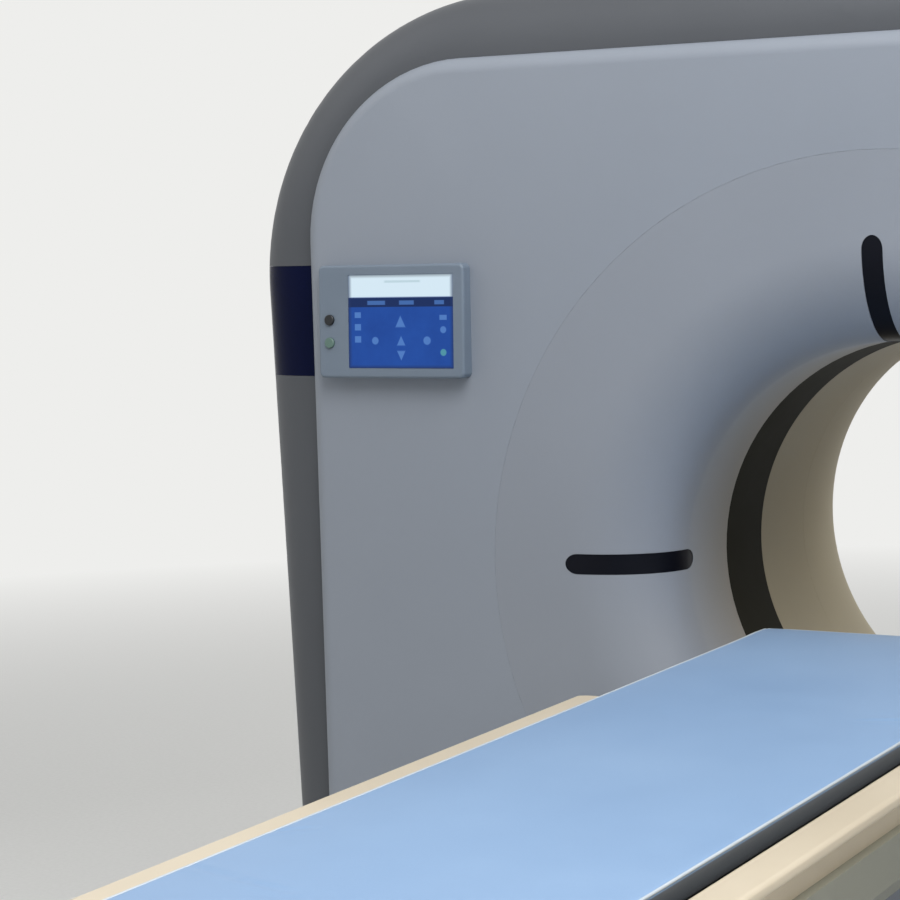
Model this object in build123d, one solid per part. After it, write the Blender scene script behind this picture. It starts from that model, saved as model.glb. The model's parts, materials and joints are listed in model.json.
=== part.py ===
from build123d import *
from math import asin, cos, degrees, radians, sin
import os

# CT scanner: a ring-shaped gantry with a patient couch in front of it.
# Millimetres. The origin is on the floor under the isocentre: X to the right as seen
# from the couch side, Y from the couch through the bore, Z up.

os.makedirs("parts", exist_ok=True)

# Gantry as a whole
iso_height = 980.0          # rotation axis above the floor
bore_radius = 360.0         # patient bore
face_depth = 374.0          # scan plane to the front face
rear_depth = 595.0          # scan plane to the rear face
cover_wall = 4.0            # moulded covers
cover_bottom = 60.0         # lower edge of the covers above the floor
seam = 0.3                  # joint between neighbouring pieces

# Front face panel
face_half_top = 1020.0
face_half_floor = 1003.0
face_top = 1819.0
face_corner = 299.0
face_edge_radius = 28.0
face_return = 45.0          # depth of the panel's side walls

# Outer band round the face, and the casing behind it
band_flank_top = 149.0      # how far the band stands out past the face, high up
band_flank_floor = 80.0     # the same at the floor
band_crown = 110.0          # the same over the top
band_half_top = face_half_top + band_flank_top
band_half_floor = face_half_floor + band_flank_floor
band_top = face_top + band_crown
band_corner = 480.0
band_roll = 76.0            # depth over which the band rolls back to its full width
band_back = -130.0          # rear edge of the band
casing_back = 470.0         # rear edge of the side and top covers
casing_split = 1440.0       # seam between the side covers and the top cover
rear_shrink = 70.0          # the rear face is this much smaller all round

# Mouths of the bore
bell_rim_radius = 659.0     # seam circle of the front bell
bell_start_radius = 515.0   # where the front bell leaves the flat
bell_depth = 135.0
rear_bell_radius = 424.0    # the rear mouth widens far less
rear_bell_depth = 295.0
window_half_width = 83.0    # scan window, to each side of the scan plane

# Positioning light slots in the front bell
slot_width = 34.0
slot_outer_radius = 506.0
slot_inner_radius = 366.0
slot_inner_depth = 122.0
light_housing_depth = 48.0

# Control panels and the coloured inserts beside them
panel_low = 1286.0
panel_high = 1478.0
panel_outer = 977.0
panel_inner = 695.0
panel_stand_low = 28.0      # how far the lower edge stands off the face
panel_stand_high = 24.0
screen_width = 202.0
screen_height = 158.0
screen_offset = 20.0        # screen centre from the panel centre, away from the buttons
screen_glass = 3.0
button_offset = 118.0       # button column from the panel centre
button_radius = 9.0
button_lift = 4.0
button_travel = 2.5
upper_button_height = 3.0   # from the panel centre
lower_button_height = -36.0

# Base and stationary frame
floor_plate = 20.0
plinth_top = 60.0
plinth_plate = 15.0
base_inset = 63.0           # floor plate inside the band's foot
base_half_width = band_half_floor - base_inset
base_rib_half = 30.0
base_rib_inner = 150.0
base_rib_middle = 600.0
base_rib_outer = base_half_width - 2 * base_rib_half
base_front = -320.0
base_back = 540.0
anchor_x = 750.0
anchor_y = 250.0
anchor_hole_radius = 9.0
stator_front = 205.0
stator_thickness = 60.0
stator_bore = 500.0
stator_rim = 100.0
stator_leg_outer = 820.0
stator_leg_inner = 520.0
stator_foot = 25.0
stator_foot_reach = 70.0
stator_window_low = 480.0   # half widths of the opening between the legs
stator_window_high = 330.0
gusset_x = 680.0
gusset_height = 235.0
gusset_thickness = 24.0

# Main bearing
bearing_bore = 425.0
race_radius = 456.0
roller_radius = 9.5
roller_length = 30.0
roller_count = 24
bearing_clearance = 0.3

# Rotor
hub_bore = 396.0
drum_radius = 800.0
drum_front = 130.0
drum_plate = 28.0
rim_depth = 70.0
rim_wall = 26.0
belt_seat_depth = 8.0
belt_width = 32.0
belt_thickness = 5.0
belt_front = 96.0
slip_ring_radius = 560.0
slip_ring_front = 300.0
slip_ring_thickness = 26.0
slip_track_count = 5
focus_radius = 570.0        # focal spot from the isocentre
tube_radius = 100.0
tube_front = -175.0
tube_back = 100.0
detector_distance = 1040.0  # focal spot to detector
detector_half_angle = 26.0
detector_front = -80.0
module_count = 20
collimator_half = 110.0
unit_front = -160.0         # front of the boxes on the rotor
unit_angle = 96.0           # power units, to each side of twelve o'clock
unit_low = 470.0
unit_high = 740.0
unit_half_width = 150.0
weight_angle = -147.0       # middle of the two counterweights
weight_spread = 10.5
weight_low = 675.0
weight_high = 762.0
weight_width = 216.0
weight_front = -200.0

# Rotor drive
motor_x = -840.0
motor_drop = 510.0          # below the rotation axis
motor_z = iso_height - motor_drop
pulley_radius = 50.0
motor_radius = 75.0

# Couch
couch_front = -790.0
couch_length = 2660.0
couch_half_width = 311.0
couch_top = 800.0
couch_shoulder = 745.0
couch_bottom = 680.0
couch_bottom_half = 250.0
couch_end_radius = 24.0
pedestal_y = -1950.0
pedestal_half_length = 450.0
pedestal_half_width = 230.0
skirt_wall = 3.0
skirt_gap = 0.5
lower_skirt_top = 310.0
mid_skirt_low = 230.0
mid_skirt_top = 500.0
upper_skirt_low = 430.0
couch_base_half_width = 260.0
couch_base_half_length = 560.0
couch_base_plate = 18.0
duct_half_low = 160.0
duct_half_high = 130.0
duct_height = 36.0
couch_anchor_x = 220.0
couch_anchor_y = 500.0
couch_anchor_radius = 7.0
column_half = 90.0
column_wall = 8.0
column_gap = 0.5
lower_column_top = 320.0
mid_column_low = 240.0
skirt_corner = 50.0
actuator_radius = 38.0
actuator_top = 450.0
lift_rod_radius = 15.0
lift_rod_low = 400.0

# Side rails along the top of the couch body
rail_inner = 259.5
rail_outer = 315.0
rail_low = 831.0
rail_high = 848.0
rail_edge_radius = 8.0
rail_foot_inner = 271.0
rail_foot_outer = 298.0

# Tabletop
top_tip = -148.0            # head end at rest
top_length = 2650.0
deck_top = 830.0
deck_bottom = 788.0
deck_flat_half = 140.0
deck_edge_half = 257.0
deck_edge_low = 820.0
deck_side_gap = 8.0         # between the tabletop and the couch body
mattress_half_width = 253.0
mattress_top = 866.0
cap_length = 45.0
cap_top = 854.0
soft_gap = 0.3

# Cooling fans behind the rear louvres
fan_x = 560.0
fan_z = 1580.0
fan_radius = 88.0
fan_half = 105.0
fan_frame_depth = 45.0
louvre_rows = 9
louvre_pitch = 20.0

# Worked out from the sizes above
face_front = -face_depth
band_front = face_front + face_edge_radius
bell_wall_radius = bore_radius + cover_wall
couch_back = couch_front - couch_length
top_back = top_tip - top_length
stator_back = stator_front + stator_thickness


def upright(y):
    """Vertical drawing plane at depth y, seen from the couch."""
    return Plane(origin=(0, y, 0), x_dir=(1, 0, 0), z_dir=(0, -1, 0))


def slab(outline, front, back):
    """An upright outline given thickness from front to back."""
    return extrude(upright(back) * outline, amount=back - front)


def block(x, y, z):
    """A box between pairs of limits along each axis."""
    centre = Pos((x[0] + x[1]) / 2, (y[0] + y[1]) / 2, (z[0] + z[1]) / 2)
    return centre * Box(x[1] - x[0], y[1] - y[0], z[1] - z[0])


def turned(profile):
    """A profile of radius against depth, turned about the bore axis."""
    return Pos(0, 0, iso_height) * revolve(profile, axis=Axis.Y)


def hoop(inner, outer, front, back):
    """A plain ring about the bore axis."""
    middle = Pos((inner + outer) / 2, (front + back) / 2)
    return turned(middle * Rectangle(outer - inner, back - front))


def clocked(angle, shape):
    """A shape drawn at twelve o'clock about the axis, turned clockwise to an angle."""
    return Pos(0, 0, iso_height) * Rot(0, angle, 0) * shape


def rod(radius, front, back, x=0.0, z=0.0):
    """A round bar along Y."""
    middle = Pos(x, (front + back) / 2, z)
    return middle * Rot(90, 0, 0) * Cylinder(radius, back - front)


def pieces(shapes):
    """Separate solids kept together as one group."""
    solids = []
    for shape in shapes:
        solids.extend(shape.solids())
    return Compound(children=solids)


def both_sides(shape):
    """A piece and its mirror image on the other side of the scanner."""
    return pieces([shape, mirror(shape, about=Plane.YZ)])


def save(shape, node):
    export_step(shape, "parts/" + node + ".step")


def arch(half_top, half_floor, top, corner, bottom=cover_bottom):
    """Outline of the gantry: leaning sides, round upper corners, flat foot."""
    slope = (half_top - half_floor) / top
    half_bottom = half_floor + slope * bottom
    corners = [(-half_bottom, bottom), (half_bottom, bottom), (half_top, top), (-half_top, top)]
    blank = make_face(Polyline(*corners, close=True))
    return fillet(blank.vertices().sort_by(Axis.Y)[-2:], corner)


def face_arch(inset=0.0):
    """Outline of the face panel."""
    return arch(face_half_top - inset, face_half_floor - inset, face_top - inset, face_corner - inset)


def band_arch(share, inset=0.0, shrink=0.0):
    """Outline part of the way from the face panel to the full width of the band."""
    half_top = face_half_top + share * (band_half_top - face_half_top) - inset - shrink
    half_floor = face_half_floor + share * (band_half_floor - face_half_floor) - inset - shrink
    top = face_top + share * (band_top - face_top) - inset - shrink
    corner = face_corner + share * (band_corner - face_corner) - inset - shrink / 2
    return arch(half_top, half_floor, top, corner)


# Covers

def band_body(inset, front_step):
    """The band's rounded front and its straight skirt, as one solid form."""
    sections = []
    for angle in (0, 30, 60, 90):
        share = sin(radians(angle))
        y = band_front + band_roll * (1 - cos(radians(angle))) + front_step
        sections.append(upright(y) * band_arch(share, inset))
    rolled = loft(sections)
    skirt = slab(band_arch(1.0, inset), band_front + band_roll + front_step, band_back)
    return rolled + skirt


def band_shell():
    shell = band_body(0.0, 0.0) - band_body(cover_wall, cover_wall)
    shell -= slab(face_arch(), band_front - 1, band_front + band_roll)
    return shell - block((-face_half_floor, face_half_floor), (band_front, band_back), (0, cover_bottom + 1))


def height_slice(shape, low, high):
    """The part of a cover that lies between two heights."""
    reach = 2 * band_half_top
    return pieces([shape & block((-reach, reach), (-reach, reach), (low, high))])


def face_blank(grow=0.0):
    """The face panel as a solid form with its rounded front edge."""
    blank = slab(face_arch(seam - grow), face_front - grow, face_front + face_return)
    front_edges = blank.faces().sort_by(Axis.Y)[0].outer_wire().edges()
    rounded = front_edges.filter_by(lambda e: e.center().Z > cover_bottom + 1)
    return fillet(rounded, face_edge_radius)


def front_cover():
    inner = slab(face_arch(seam + cover_wall), face_front + cover_wall, face_front + face_return + 1)
    front_edges = inner.faces().sort_by(Axis.Y)[0].outer_wire().edges()
    rounded = front_edges.filter_by(lambda e: e.center().Z > cover_bottom + 1)
    inner = fillet(rounded, face_edge_radius - cover_wall)
    shell = face_blank() - inner
    opening = rod(bell_rim_radius, face_front - 1, face_front + face_return + 1, 0, iso_height)
    return shell - opening


def bell_wall(recess, thickness):
    """A layer of the front bell, measured inwards from its visible surface."""
    outer = recess + thickness
    flat_near = face_front + recess
    flat_far = face_front + outer
    rim = bell_rim_radius - seam
    centre = (bell_start_radius, face_front + bell_depth)
    reach = bell_start_radius - bore_radius
    near = EllipticalCenterArc(centre, reach - recess, bell_depth - recess, 180, arc_size=90)
    far = EllipticalCenterArc(centre, reach - outer, bell_depth - outer, 180, arc_size=90)
    throat = -window_half_width - seam
    line = Polyline((bore_radius + recess, centre[1]), (bore_radius + recess, throat),
                    (bore_radius + outer, throat), (bore_radius + outer, centre[1]))
    edge = Polyline((bell_start_radius, flat_near), (rim, flat_near),
                    (rim, flat_far), (bell_start_radius, flat_far))
    return turned(make_face(near.edges() + far.edges() + line.edges() + edge.edges()))


def slot_prism(grow, angle):
    """A round-ended cutter square to the bell's curve, for one positioning light."""
    outer = Vector(0, face_front, slot_outer_radius)
    inner = Vector(0, face_front + slot_inner_depth, slot_inner_radius)
    along = outer - inner
    middle = (outer + inner) * 0.5
    across = along.cross(Vector(1, 0, 0))
    plane = Plane(origin=middle, x_dir=along, z_dir=across)
    length = along.length + slot_width + 2 * grow
    cutter = extrude(plane * SlotOverall(length, slot_width + 2 * grow), amount=95, both=True)
    return clocked(angle, cutter)


light_angles = (0, 90, -90)


def front_bell():
    shell = bell_wall(0.0, cover_wall)
    for angle in light_angles:
        shell -= slot_prism(0.0, angle)
    return shell


def light_windows():
    layer = bell_wall(1.0, cover_wall - 1.0)
    return pieces([layer & slot_prism(-seam, angle) for angle in light_angles])


def light_housings():
    layer = bell_wall(cover_wall + seam, light_housing_depth)
    behind = layer - hoop(0, bell_wall_radius + 1, face_front, 0)
    return pieces([behind & slot_prism(slot_width / 2, angle) for angle in light_angles])


def casing_form(inset, front, back):
    """The casing behind the band, with the slight lean-in towards the rear."""
    sections = [upright(front) * band_arch(1.0, inset), upright(back) * band_arch(1.0, inset, 12)]
    return loft(sections, ruled=True)


def casing_shell():
    front = band_back + seam
    outer = casing_form(0.0, front, casing_back)
    inner = casing_form(cover_wall, front, casing_back)
    shell = outer - inner
    return shell - block((-face_half_floor, face_half_floor), (front - 1, casing_back + 1), (0, cover_bottom + 1))


def rear_form(inset, step):
    start = casing_back + seam
    depth = rear_depth - casing_back - seam - step
    sections = []
    for angle in (0, 45, 75):
        share = 12 + (rear_shrink - 12) * (1 - cos(radians(angle))) / (1 - cos(radians(75)))
        y = start + depth * sin(radians(angle)) / sin(radians(75))
        sections.append(upright(y) * band_arch(1.0, inset, share))
    return loft(sections, ruled=True)


def vent_slots():
    """Louvre openings high on the rear cover, one group in front of each fan."""
    slots = []
    for side in (-1, 1):
        for row in range(louvre_rows):
            z = fan_z + (row - (louvre_rows - 1) / 2) * louvre_pitch
            slots.append(block((side * fan_x - 85, side * fan_x + 85), (rear_depth - 30, rear_depth + 5),
                               (z - 4, z + 4)))
    return slots


def rear_cover():
    shell = rear_form(0.0, 0.0) - rear_form(cover_wall, cover_wall)
    shell -= rod(rear_bell_radius, casing_back, rear_depth + 1, 0, iso_height)
    for slot in vent_slots():
        shell -= slot
    return shell


def rear_bell():
    start = rear_depth - rear_bell_depth
    reach = rear_bell_radius - bore_radius
    centre = (rear_bell_radius - seam, start)
    near = EllipticalCenterArc(centre, reach - seam, rear_bell_depth, 90, arc_size=90)
    far = EllipticalCenterArc(centre, reach - seam - cover_wall, rear_bell_depth - cover_wall, 90, arc_size=90)
    throat = Line((bore_radius, start), (bell_wall_radius, start))
    rim = Line((centre[0], rear_depth), (centre[0], rear_depth - cover_wall))
    return turned(make_face(near.edges() + far.edges() + throat.edges() + rim.edges()))


def rear_lining():
    return hoop(bore_radius, bell_wall_radius, window_half_width + seam, rear_depth - rear_bell_depth - seam)


def scan_window():
    return hoop(bore_radius, bore_radius + cover_wall - 1, -window_half_width, window_half_width)


# Control panels

panel_mid_z = (panel_low + panel_high) / 2
panel_mid_x = -(panel_outer + panel_inner) / 2
panel_lean = degrees(asin((panel_stand_low - panel_stand_high) / (panel_high - panel_low)))
panel_front_mid = face_front - (panel_stand_low + panel_stand_high) / 2


def panel_plane():
    """The leaning front of the left panel, drawn about its centre."""
    lean = radians(panel_lean)
    return Plane(origin=(panel_mid_x, panel_front_mid, panel_mid_z), x_dir=(1, 0, 0),
                 z_dir=(0, -cos(lean), sin(lean)))


def panel_button_centres():
    return ((-button_offset, upper_button_height), (-button_offset, lower_button_height))


def panel_housing():
    side = Polyline((face_front - panel_stand_low, panel_low), (face_front - panel_stand_high, panel_high),
                    (band_front, panel_high), (band_front, panel_low), close=True)
    face = Plane(origin=(-panel_outer, 0, 0), x_dir=(0, 1, 0), z_dir=(1, 0, 0)) * make_face(side)
    body = extrude(face, amount=panel_outer - panel_inner)
    uprights = body.edges().filter_by(lambda e: abs(e.tangent_at(0.5).Y) > 0.99)
    body = fillet(uprights, 10)
    front = body.faces().filter_by(lambda f: f.normal_at().Y < -0.9).sort_by(Axis.Y)[0]
    body = fillet(front.edges(), 5)
    body -= face_blank(seam)
    plane = panel_plane()
    recess = plane * Pos(screen_offset, 0, 0) * Rectangle(screen_width + 2 * seam, screen_height + 2 * seam)
    body -= extrude(recess, amount=-(screen_glass + 1), both=True)
    for centre in panel_button_centres():
        hole = plane * Pos(*centre) * Circle(button_radius + seam)
        body -= extrude(hole, amount=-(button_lift + button_travel + 4), both=True)
    return body


def panel_screen():
    outline = panel_plane() * Pos(screen_offset, 0, -screen_glass - 0.7)
    return extrude(outline * RectangleRounded(screen_width, screen_height, 3), amount=screen_glass)


def panel_button(centre):
    depth = button_travel + 4
    seat = panel_plane() * Pos(centre[0], centre[1], -depth)
    cap = extrude(seat * Circle(button_radius), amount=depth + button_lift)
    return chamfer(cap.edges().sort_by(Axis.Y)[0], 1)


# Base and stationary frame

def base_frame():
    floor = block((-base_half_width, base_half_width), (base_front, base_back), (0, floor_plate))
    lip = band_half_floor - cover_wall / 2
    deck_low = plinth_top - plinth_plate
    deck = Pos(0, (rear_depth + band_front) / 2 - 4, 0) * RectangleRounded(
        2 * lip, rear_depth - band_front - 12, 118)
    frame = floor + Pos(0, 0, deck_low) * extrude(deck, amount=plinth_plate)
    for x in (base_rib_inner, base_rib_middle, base_rib_outer):
        rib = block((x - base_rib_half, x + base_rib_half), (base_front, base_back), (floor_plate, deck_low))
        frame += rib + mirror(rib, about=Plane.YZ)
    for x in (-anchor_x, anchor_x):
        for y in (-anchor_y, anchor_y):
            frame -= Pos(x, y, floor_plate / 2) * Cylinder(anchor_hole_radius, floor_plate + 2)
            frame -= Pos(x, y, plinth_top) * Cylinder(30, 4 * plinth_plate)
    return frame


def stator_frame():
    outer = stator_bore + stator_rim
    outline = Pos(0, iso_height) * Circle(outer)
    legs = Polygon((-stator_leg_outer, plinth_top), (stator_leg_outer, plinth_top), (outer - 20, iso_height),
                   (20 - outer, iso_height), align=None)
    outline += legs
    outline -= Pos(0, iso_height) * Circle(stator_bore)
    sill = plinth_top + stator_thickness
    head = iso_height - outer - 15
    outline -= Polygon((-stator_window_low, sill), (stator_window_low, sill), (stator_window_high, head),
                       (-stator_window_high, head), align=None)
    frame = slab(outline, stator_front, stator_back)
    for side in (-1, 1):
        foot = sorted((side * stator_leg_inner, side * stator_leg_outer))
        foot_top = plinth_top + stator_foot
        frame += block(foot, (stator_front - stator_foot_reach, stator_back + stator_foot_reach),
                       (plinth_top, foot_top))
        gusset = Polygon((stator_front - stator_foot_reach + 5, foot_top), (stator_front, foot_top),
                         (stator_front, foot_top + gusset_height), align=None)
        start = side * gusset_x - gusset_thickness / 2
        rib = Plane(origin=(start, 0, 0), x_dir=(0, 1, 0), z_dir=(1, 0, 0)) * gusset
        frame += extrude(rib, amount=gusset_thickness)
    return frame


# Main bearing: two raceways with caged rollers between them

race_middle = stator_front + 35.0
race_reach = roller_radius + 0.4
race_half = roller_length / 2 + 0.4


def bearing_outer_ring():
    inner = race_radius + bearing_clearance / 2
    ring = hoop(inner, stator_bore - 0.1, stator_front - 5, stator_back + seam)
    ring += hoop(inner, stator_bore + 45, stator_back + seam, stator_back + seam + 16)
    return ring - hoop(race_radius - 1, race_radius + race_reach, race_middle - race_half, race_middle + race_half)


def bearing_inner_ring():
    outer = race_radius - bearing_clearance / 2
    ring = hoop(bearing_bore, outer, stator_front - 5, stator_back + 15)
    return ring - hoop(race_radius - race_reach, race_radius + 1, race_middle - race_half, race_middle + race_half)


def bearing_rollers():
    cage = hoop(race_radius - 3, race_radius + 3, race_middle - 6, race_middle + 6)
    roller = rod(roller_radius, race_middle - roller_length / 2, race_middle + roller_length / 2, 0, race_radius)
    for index in range(roller_count):
        cage += clocked(index * 360 / roller_count, roller)
    return cage


# Rotor

drum_back = drum_front + drum_plate
hub_back = slip_ring_front + slip_ring_thickness
hub_outer = bearing_bore - 0.1


def rotor_drum():
    rim_front = drum_back - rim_depth - drum_plate
    seat = drum_radius - belt_seat_depth
    belt_back = belt_front + belt_width
    groove = 2.0
    outline = Polyline(
        (hub_bore, drum_front), (drum_radius - rim_wall, drum_front), (drum_radius - rim_wall, rim_front),
        (drum_radius, rim_front), (drum_radius, belt_front - groove), (seat, belt_front - groove),
        (seat, belt_back + groove), (drum_radius, belt_back + groove), (drum_radius, drum_back),
        (hub_outer, drum_back), (hub_outer, hub_back), (hub_bore, hub_back), close=True)
    drum = turned(make_face(outline))
    for index in range(12):
        hole = rod(28, drum_front - 1, drum_back + 1, 0, drum_radius - 110)
        drum -= clocked(15 + index * 30, hole)
    return drum


def slip_ring():
    low = bearing_bore + 15
    back = slip_ring_front + slip_ring_thickness
    ring = hoop(hub_outer + 0.2, slip_ring_radius, slip_ring_front, back)
    pitch = (slip_ring_radius - low) / slip_track_count
    for track in range(slip_track_count):
        start = low + (track + 0.25) * pitch
        ring -= hoop(start, start + pitch / 2, back - 3, back + 1)
    return ring


tube_centre = focus_radius + 70.0


def xray_tube():
    housing = rod(tube_radius, tube_front + 25, tube_back - 25, 0, tube_centre)
    housing += rod(tube_radius - 22, tube_front, tube_back, 0, tube_centre)
    port = block((-45, 45), (-40, 40), (focus_radius - 50, tube_centre))
    horn = block((-28, 28), (tube_front + 40, tube_front + 110), (tube_centre, tube_centre + tube_radius + 22))
    return clocked(0, housing + port + horn)


def tube_saddle():
    """Cast cradle that bolts the tube to the drum."""
    cheeks = []
    for side in (-1, 1):
        x = sorted((side * (tube_radius * 0.55), side * (tube_radius + 35)))
        cheeks.append(block(x, (-110, drum_front - seam), (focus_radius - 20, tube_centre + 40)))
    plate = block((-tube_radius - 35, tube_radius + 35), (drum_front - 20, drum_front - seam),
                  (focus_radius - 20, tube_centre + 95))
    saddle = cheeks[0] + cheeks[1] + plate
    saddle -= rod(tube_radius + seam, tube_front, tube_back + seam, 0, tube_centre)
    return clocked(0, saddle)


collimator_low = 425.0
collimator_high = focus_radius - 50.0 - seam
blade_level = 470.0
blade_mid = 30.0


def collimator_housing():
    box = block((-collimator_half, collimator_half), (-65, 65), (collimator_low, collimator_high))
    tunnel = block((-collimator_half + 15, collimator_half - 15), (-54, 54), (collimator_low + 12, collimator_high - 12))
    beam = block((-70, 70), (-26, 26), (collimator_low - 1, collimator_high + 1))
    arm = block((-40, 40), (65, drum_front - seam), (collimator_low, collimator_high))
    return clocked(0, box - tunnel - beam + arm)


def collimator_blade(side):
    """One of the two lead blades that close on the beam from front and back."""
    near = side * (blade_mid - 16)
    far = side * (blade_mid + 10)
    low = collimator_low + 12 + seam
    blade = block((-collimator_half + 15 + seam, collimator_half - 15 - seam), sorted((near, far)),
                  (low, blade_level))
    return clocked(0, blade)


def on_detector(inner, outer, front, back, half_angle):
    """A stretch of arc about the focal spot, opposite the tube."""
    ring = Circle(outer) - Circle(inner)
    wedge = Polygon((0, 0), (-2 * outer * sin(radians(half_angle)), -2 * outer * cos(radians(half_angle))),
                    (2 * outer * sin(radians(half_angle)), -2 * outer * cos(radians(half_angle))), align=None)
    return Pos(0, 0, iso_height + focus_radius) * slab(ring & wedge, front, back)


def detector_housing():
    tray = on_detector(detector_distance, detector_distance + 60, detector_front, drum_front - seam,
                       detector_half_angle + 1.5)
    pocket = on_detector(detector_distance - 1, detector_distance + 45, detector_front + 12, drum_front - 40,
                         detector_half_angle)
    return tray - pocket


def detector_modules():
    step = 2 * detector_half_angle / module_count
    module = block((-20.5, 20.5), (detector_front + 12 + seam, drum_front - 40 - seam), (0, 44))
    modules = []
    for index in range(module_count):
        angle = -detector_half_angle + (index + 0.5) * step
        place = Pos(0, 0, iso_height + focus_radius) * Rot(0, angle, 0) * Pos(0, 0, -detector_distance - 44)
        modules.append(place * module)
    return pieces(modules)


def acquisition_boards():
    boards = []
    for index in range(8):
        angle = -21 + index * 6
        place = Pos(0, 0, iso_height + focus_radius) * Rot(0, angle, 0) * Pos(0, 0, -detector_distance - 60)
        boards.append(place * block((-42, 42), (detector_front + 20, drum_front - seam), (-55, -5)))
    return pieces(boards)


def rotor_unit(angle):
    """A box of electronics bolted to the drum, with its corners rounded."""
    box = block((-unit_half_width, unit_half_width), (unit_front, drum_front - seam), (unit_low, unit_high))
    box = fillet(box.edges().filter_by(Axis.Y), 12)
    return clocked(angle, box)


cooler_angle = 42.0
cooler_low = 500.0
cooler_high = 740.0
cooler_middle = (cooler_low + cooler_high) / 2
cooler_fan_radius = 78.0


def tube_cooler():
    """Oil cooler with the well that its fan turns in."""
    box = block((-105, 105), (-120, drum_front - seam), (cooler_low, cooler_high))
    well = rod(cooler_fan_radius + 6, -121, -70, 0, cooler_middle)
    post = rod(14, -72, -62, 0, cooler_middle)
    return clocked(cooler_angle, box - well + post)


def fan_wheel(radius, hub_radius, front, back, blades):
    """Hub with leaning blades, about the Y axis."""
    wheel = rod(hub_radius, front, back)
    length = radius - hub_radius + 6
    for index in range(blades):
        blade = Box(30, 3, length)
        place = Rot(0, index * 360 / blades, 0) * Pos(0, (front + back) / 2, hub_radius - 6 + length / 2)
        wheel += place * Rot(0, 0, 28) * blade
    return wheel


def cooler_fan():
    wheel = Pos(0, 0, cooler_middle) * fan_wheel(cooler_fan_radius, 26, -110, -72 - seam, 5)
    return clocked(cooler_angle, wheel)


def counterweights():
    """Steel blocks that bring the rotor into balance about its axis."""
    half = weight_width / 2
    weight = block((-half, half), (weight_front, drum_front - seam), (weight_low, weight_high))
    return pieces([clocked(weight_angle + turn, weight) for turn in (-weight_spread, weight_spread)])


def brush_block():
    """Carrier of the brushes that run on the slip ring."""
    back = slip_ring_front + slip_ring_thickness + seam
    low = bearing_bore + 15
    head = block((-45, 45), (back, back + 30), (low, slip_ring_radius + 30))
    arm = block((-45, 45), (stator_back + 0.1, back + 30), (slip_ring_radius + 12, slip_ring_radius + 35))
    return clocked(150, head + arm)


# Rotor drive

def belt_outline(rotor, pulley):
    """Outline that wraps the rotor and the pulley."""
    wheel = Pos(0, iso_height) * Circle(rotor)
    small = Pos(motor_x, motor_z) * Circle(pulley)
    return make_hull(wheel.edges() + small.edges())


def drive_belt():
    seat = drum_radius - belt_seat_depth + 0.4
    grip = pulley_radius + 0.4
    outer = belt_outline(seat + belt_thickness, grip + belt_thickness)
    loop = outer - belt_outline(seat, grip)
    return slab(loop, belt_front, belt_front + belt_width)


def motor_pulley():
    front = belt_front - 6
    wheel = rod(pulley_radius, front, belt_front + belt_width + 6, motor_x, motor_z)
    flange = rod(pulley_radius + 4, front, front + 4, motor_x, motor_z)
    shaft = rod(14, belt_front + belt_width, stator_front - 30, motor_x, motor_z)
    return wheel + flange + shaft


def drive_motor():
    front = belt_front + belt_width + 20
    body = rod(motor_radius, front, stator_back + 80, motor_x, motor_z)
    body -= rod(14 + seam, front - 1, stator_front - 30 + seam, motor_x, motor_z)
    return body


def motor_bracket():
    """Plate that hangs the motor on the leg of the stationary frame."""
    plate = block((motor_x - 110, -640), (stator_back + seam, stator_back + 20), (motor_z - 110, motor_z + 110))
    plate -= rod(motor_radius + seam, stator_back, stator_back + 30, motor_x, motor_z)
    return plate


# Cooling fans behind the rear louvres

fan_back = rear_depth - cover_wall - seam


def fan_frames():
    frames = []
    for side in (-1, 1):
        x = side * fan_x
        front = fan_back - fan_frame_depth
        frame = block((x - fan_half, x + fan_half), (front, fan_back), (fan_z - fan_half, fan_z + fan_half))
        frame -= rod(fan_radius + 3, front - 1, fan_back + 1, x, fan_z)
        frame += block((x - fan_radius - 6, x + fan_radius + 6), (front, front + 5), (fan_z - 6, fan_z + 6))
        frame += rod(24, front, front + 12, x, fan_z)
        frames.append(frame)
    return pieces(frames)


def gantry_fan(side):
    front = fan_back - fan_frame_depth + 12 + seam
    return Pos(side * fan_x, 0, fan_z) * fan_wheel(fan_radius, 26, front, fan_back - 4, 7)


power_cabinet_half = 500.0
power_cabinet_height = 270.0
control_cabinet_width = 260.0
control_cabinet_height = 740.0
cabinet_corner = 15.0


def power_cabinet():
    box = block((-power_cabinet_half, power_cabinet_half), (stator_back + 130, rear_depth - 40),
                (plinth_top, plinth_top + power_cabinet_height))
    return fillet(box.edges().filter_by(Axis.Z), cabinet_corner)


def control_cabinet():
    inner = base_rib_outer - control_cabinet_width
    return block((inner, base_rib_outer), (stator_back + 75, casing_back - 20),
                 (plinth_top, plinth_top + control_cabinet_height))


# Couch

def couch_plan(half_width, half_length, corner):
    return Pos(0, pedestal_y) * RectangleRounded(2 * half_width, 2 * half_length, corner)


def couch_base():
    plate = extrude(couch_plan(couch_base_half_width, couch_base_half_length, 40), amount=couch_base_plate)
    for x in (-couch_anchor_x, couch_anchor_x):
        for y in (-couch_anchor_y, couch_anchor_y):
            hole = Cylinder(couch_anchor_radius, 2 * couch_base_plate)
            plate -= Pos(x, pedestal_y + y, couch_base_plate / 2) * hole
    return plate


def floor_duct():
    """Low cover on the floor that ties the couch base to the gantry."""
    section = Polygon((-duct_half_low, 0), (duct_half_low, 0), (duct_half_high, duct_height),
                      (-duct_half_high, duct_height), align=None)
    front = pedestal_y + couch_base_half_length + seam
    return slab(section, front, base_front - seam)


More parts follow.
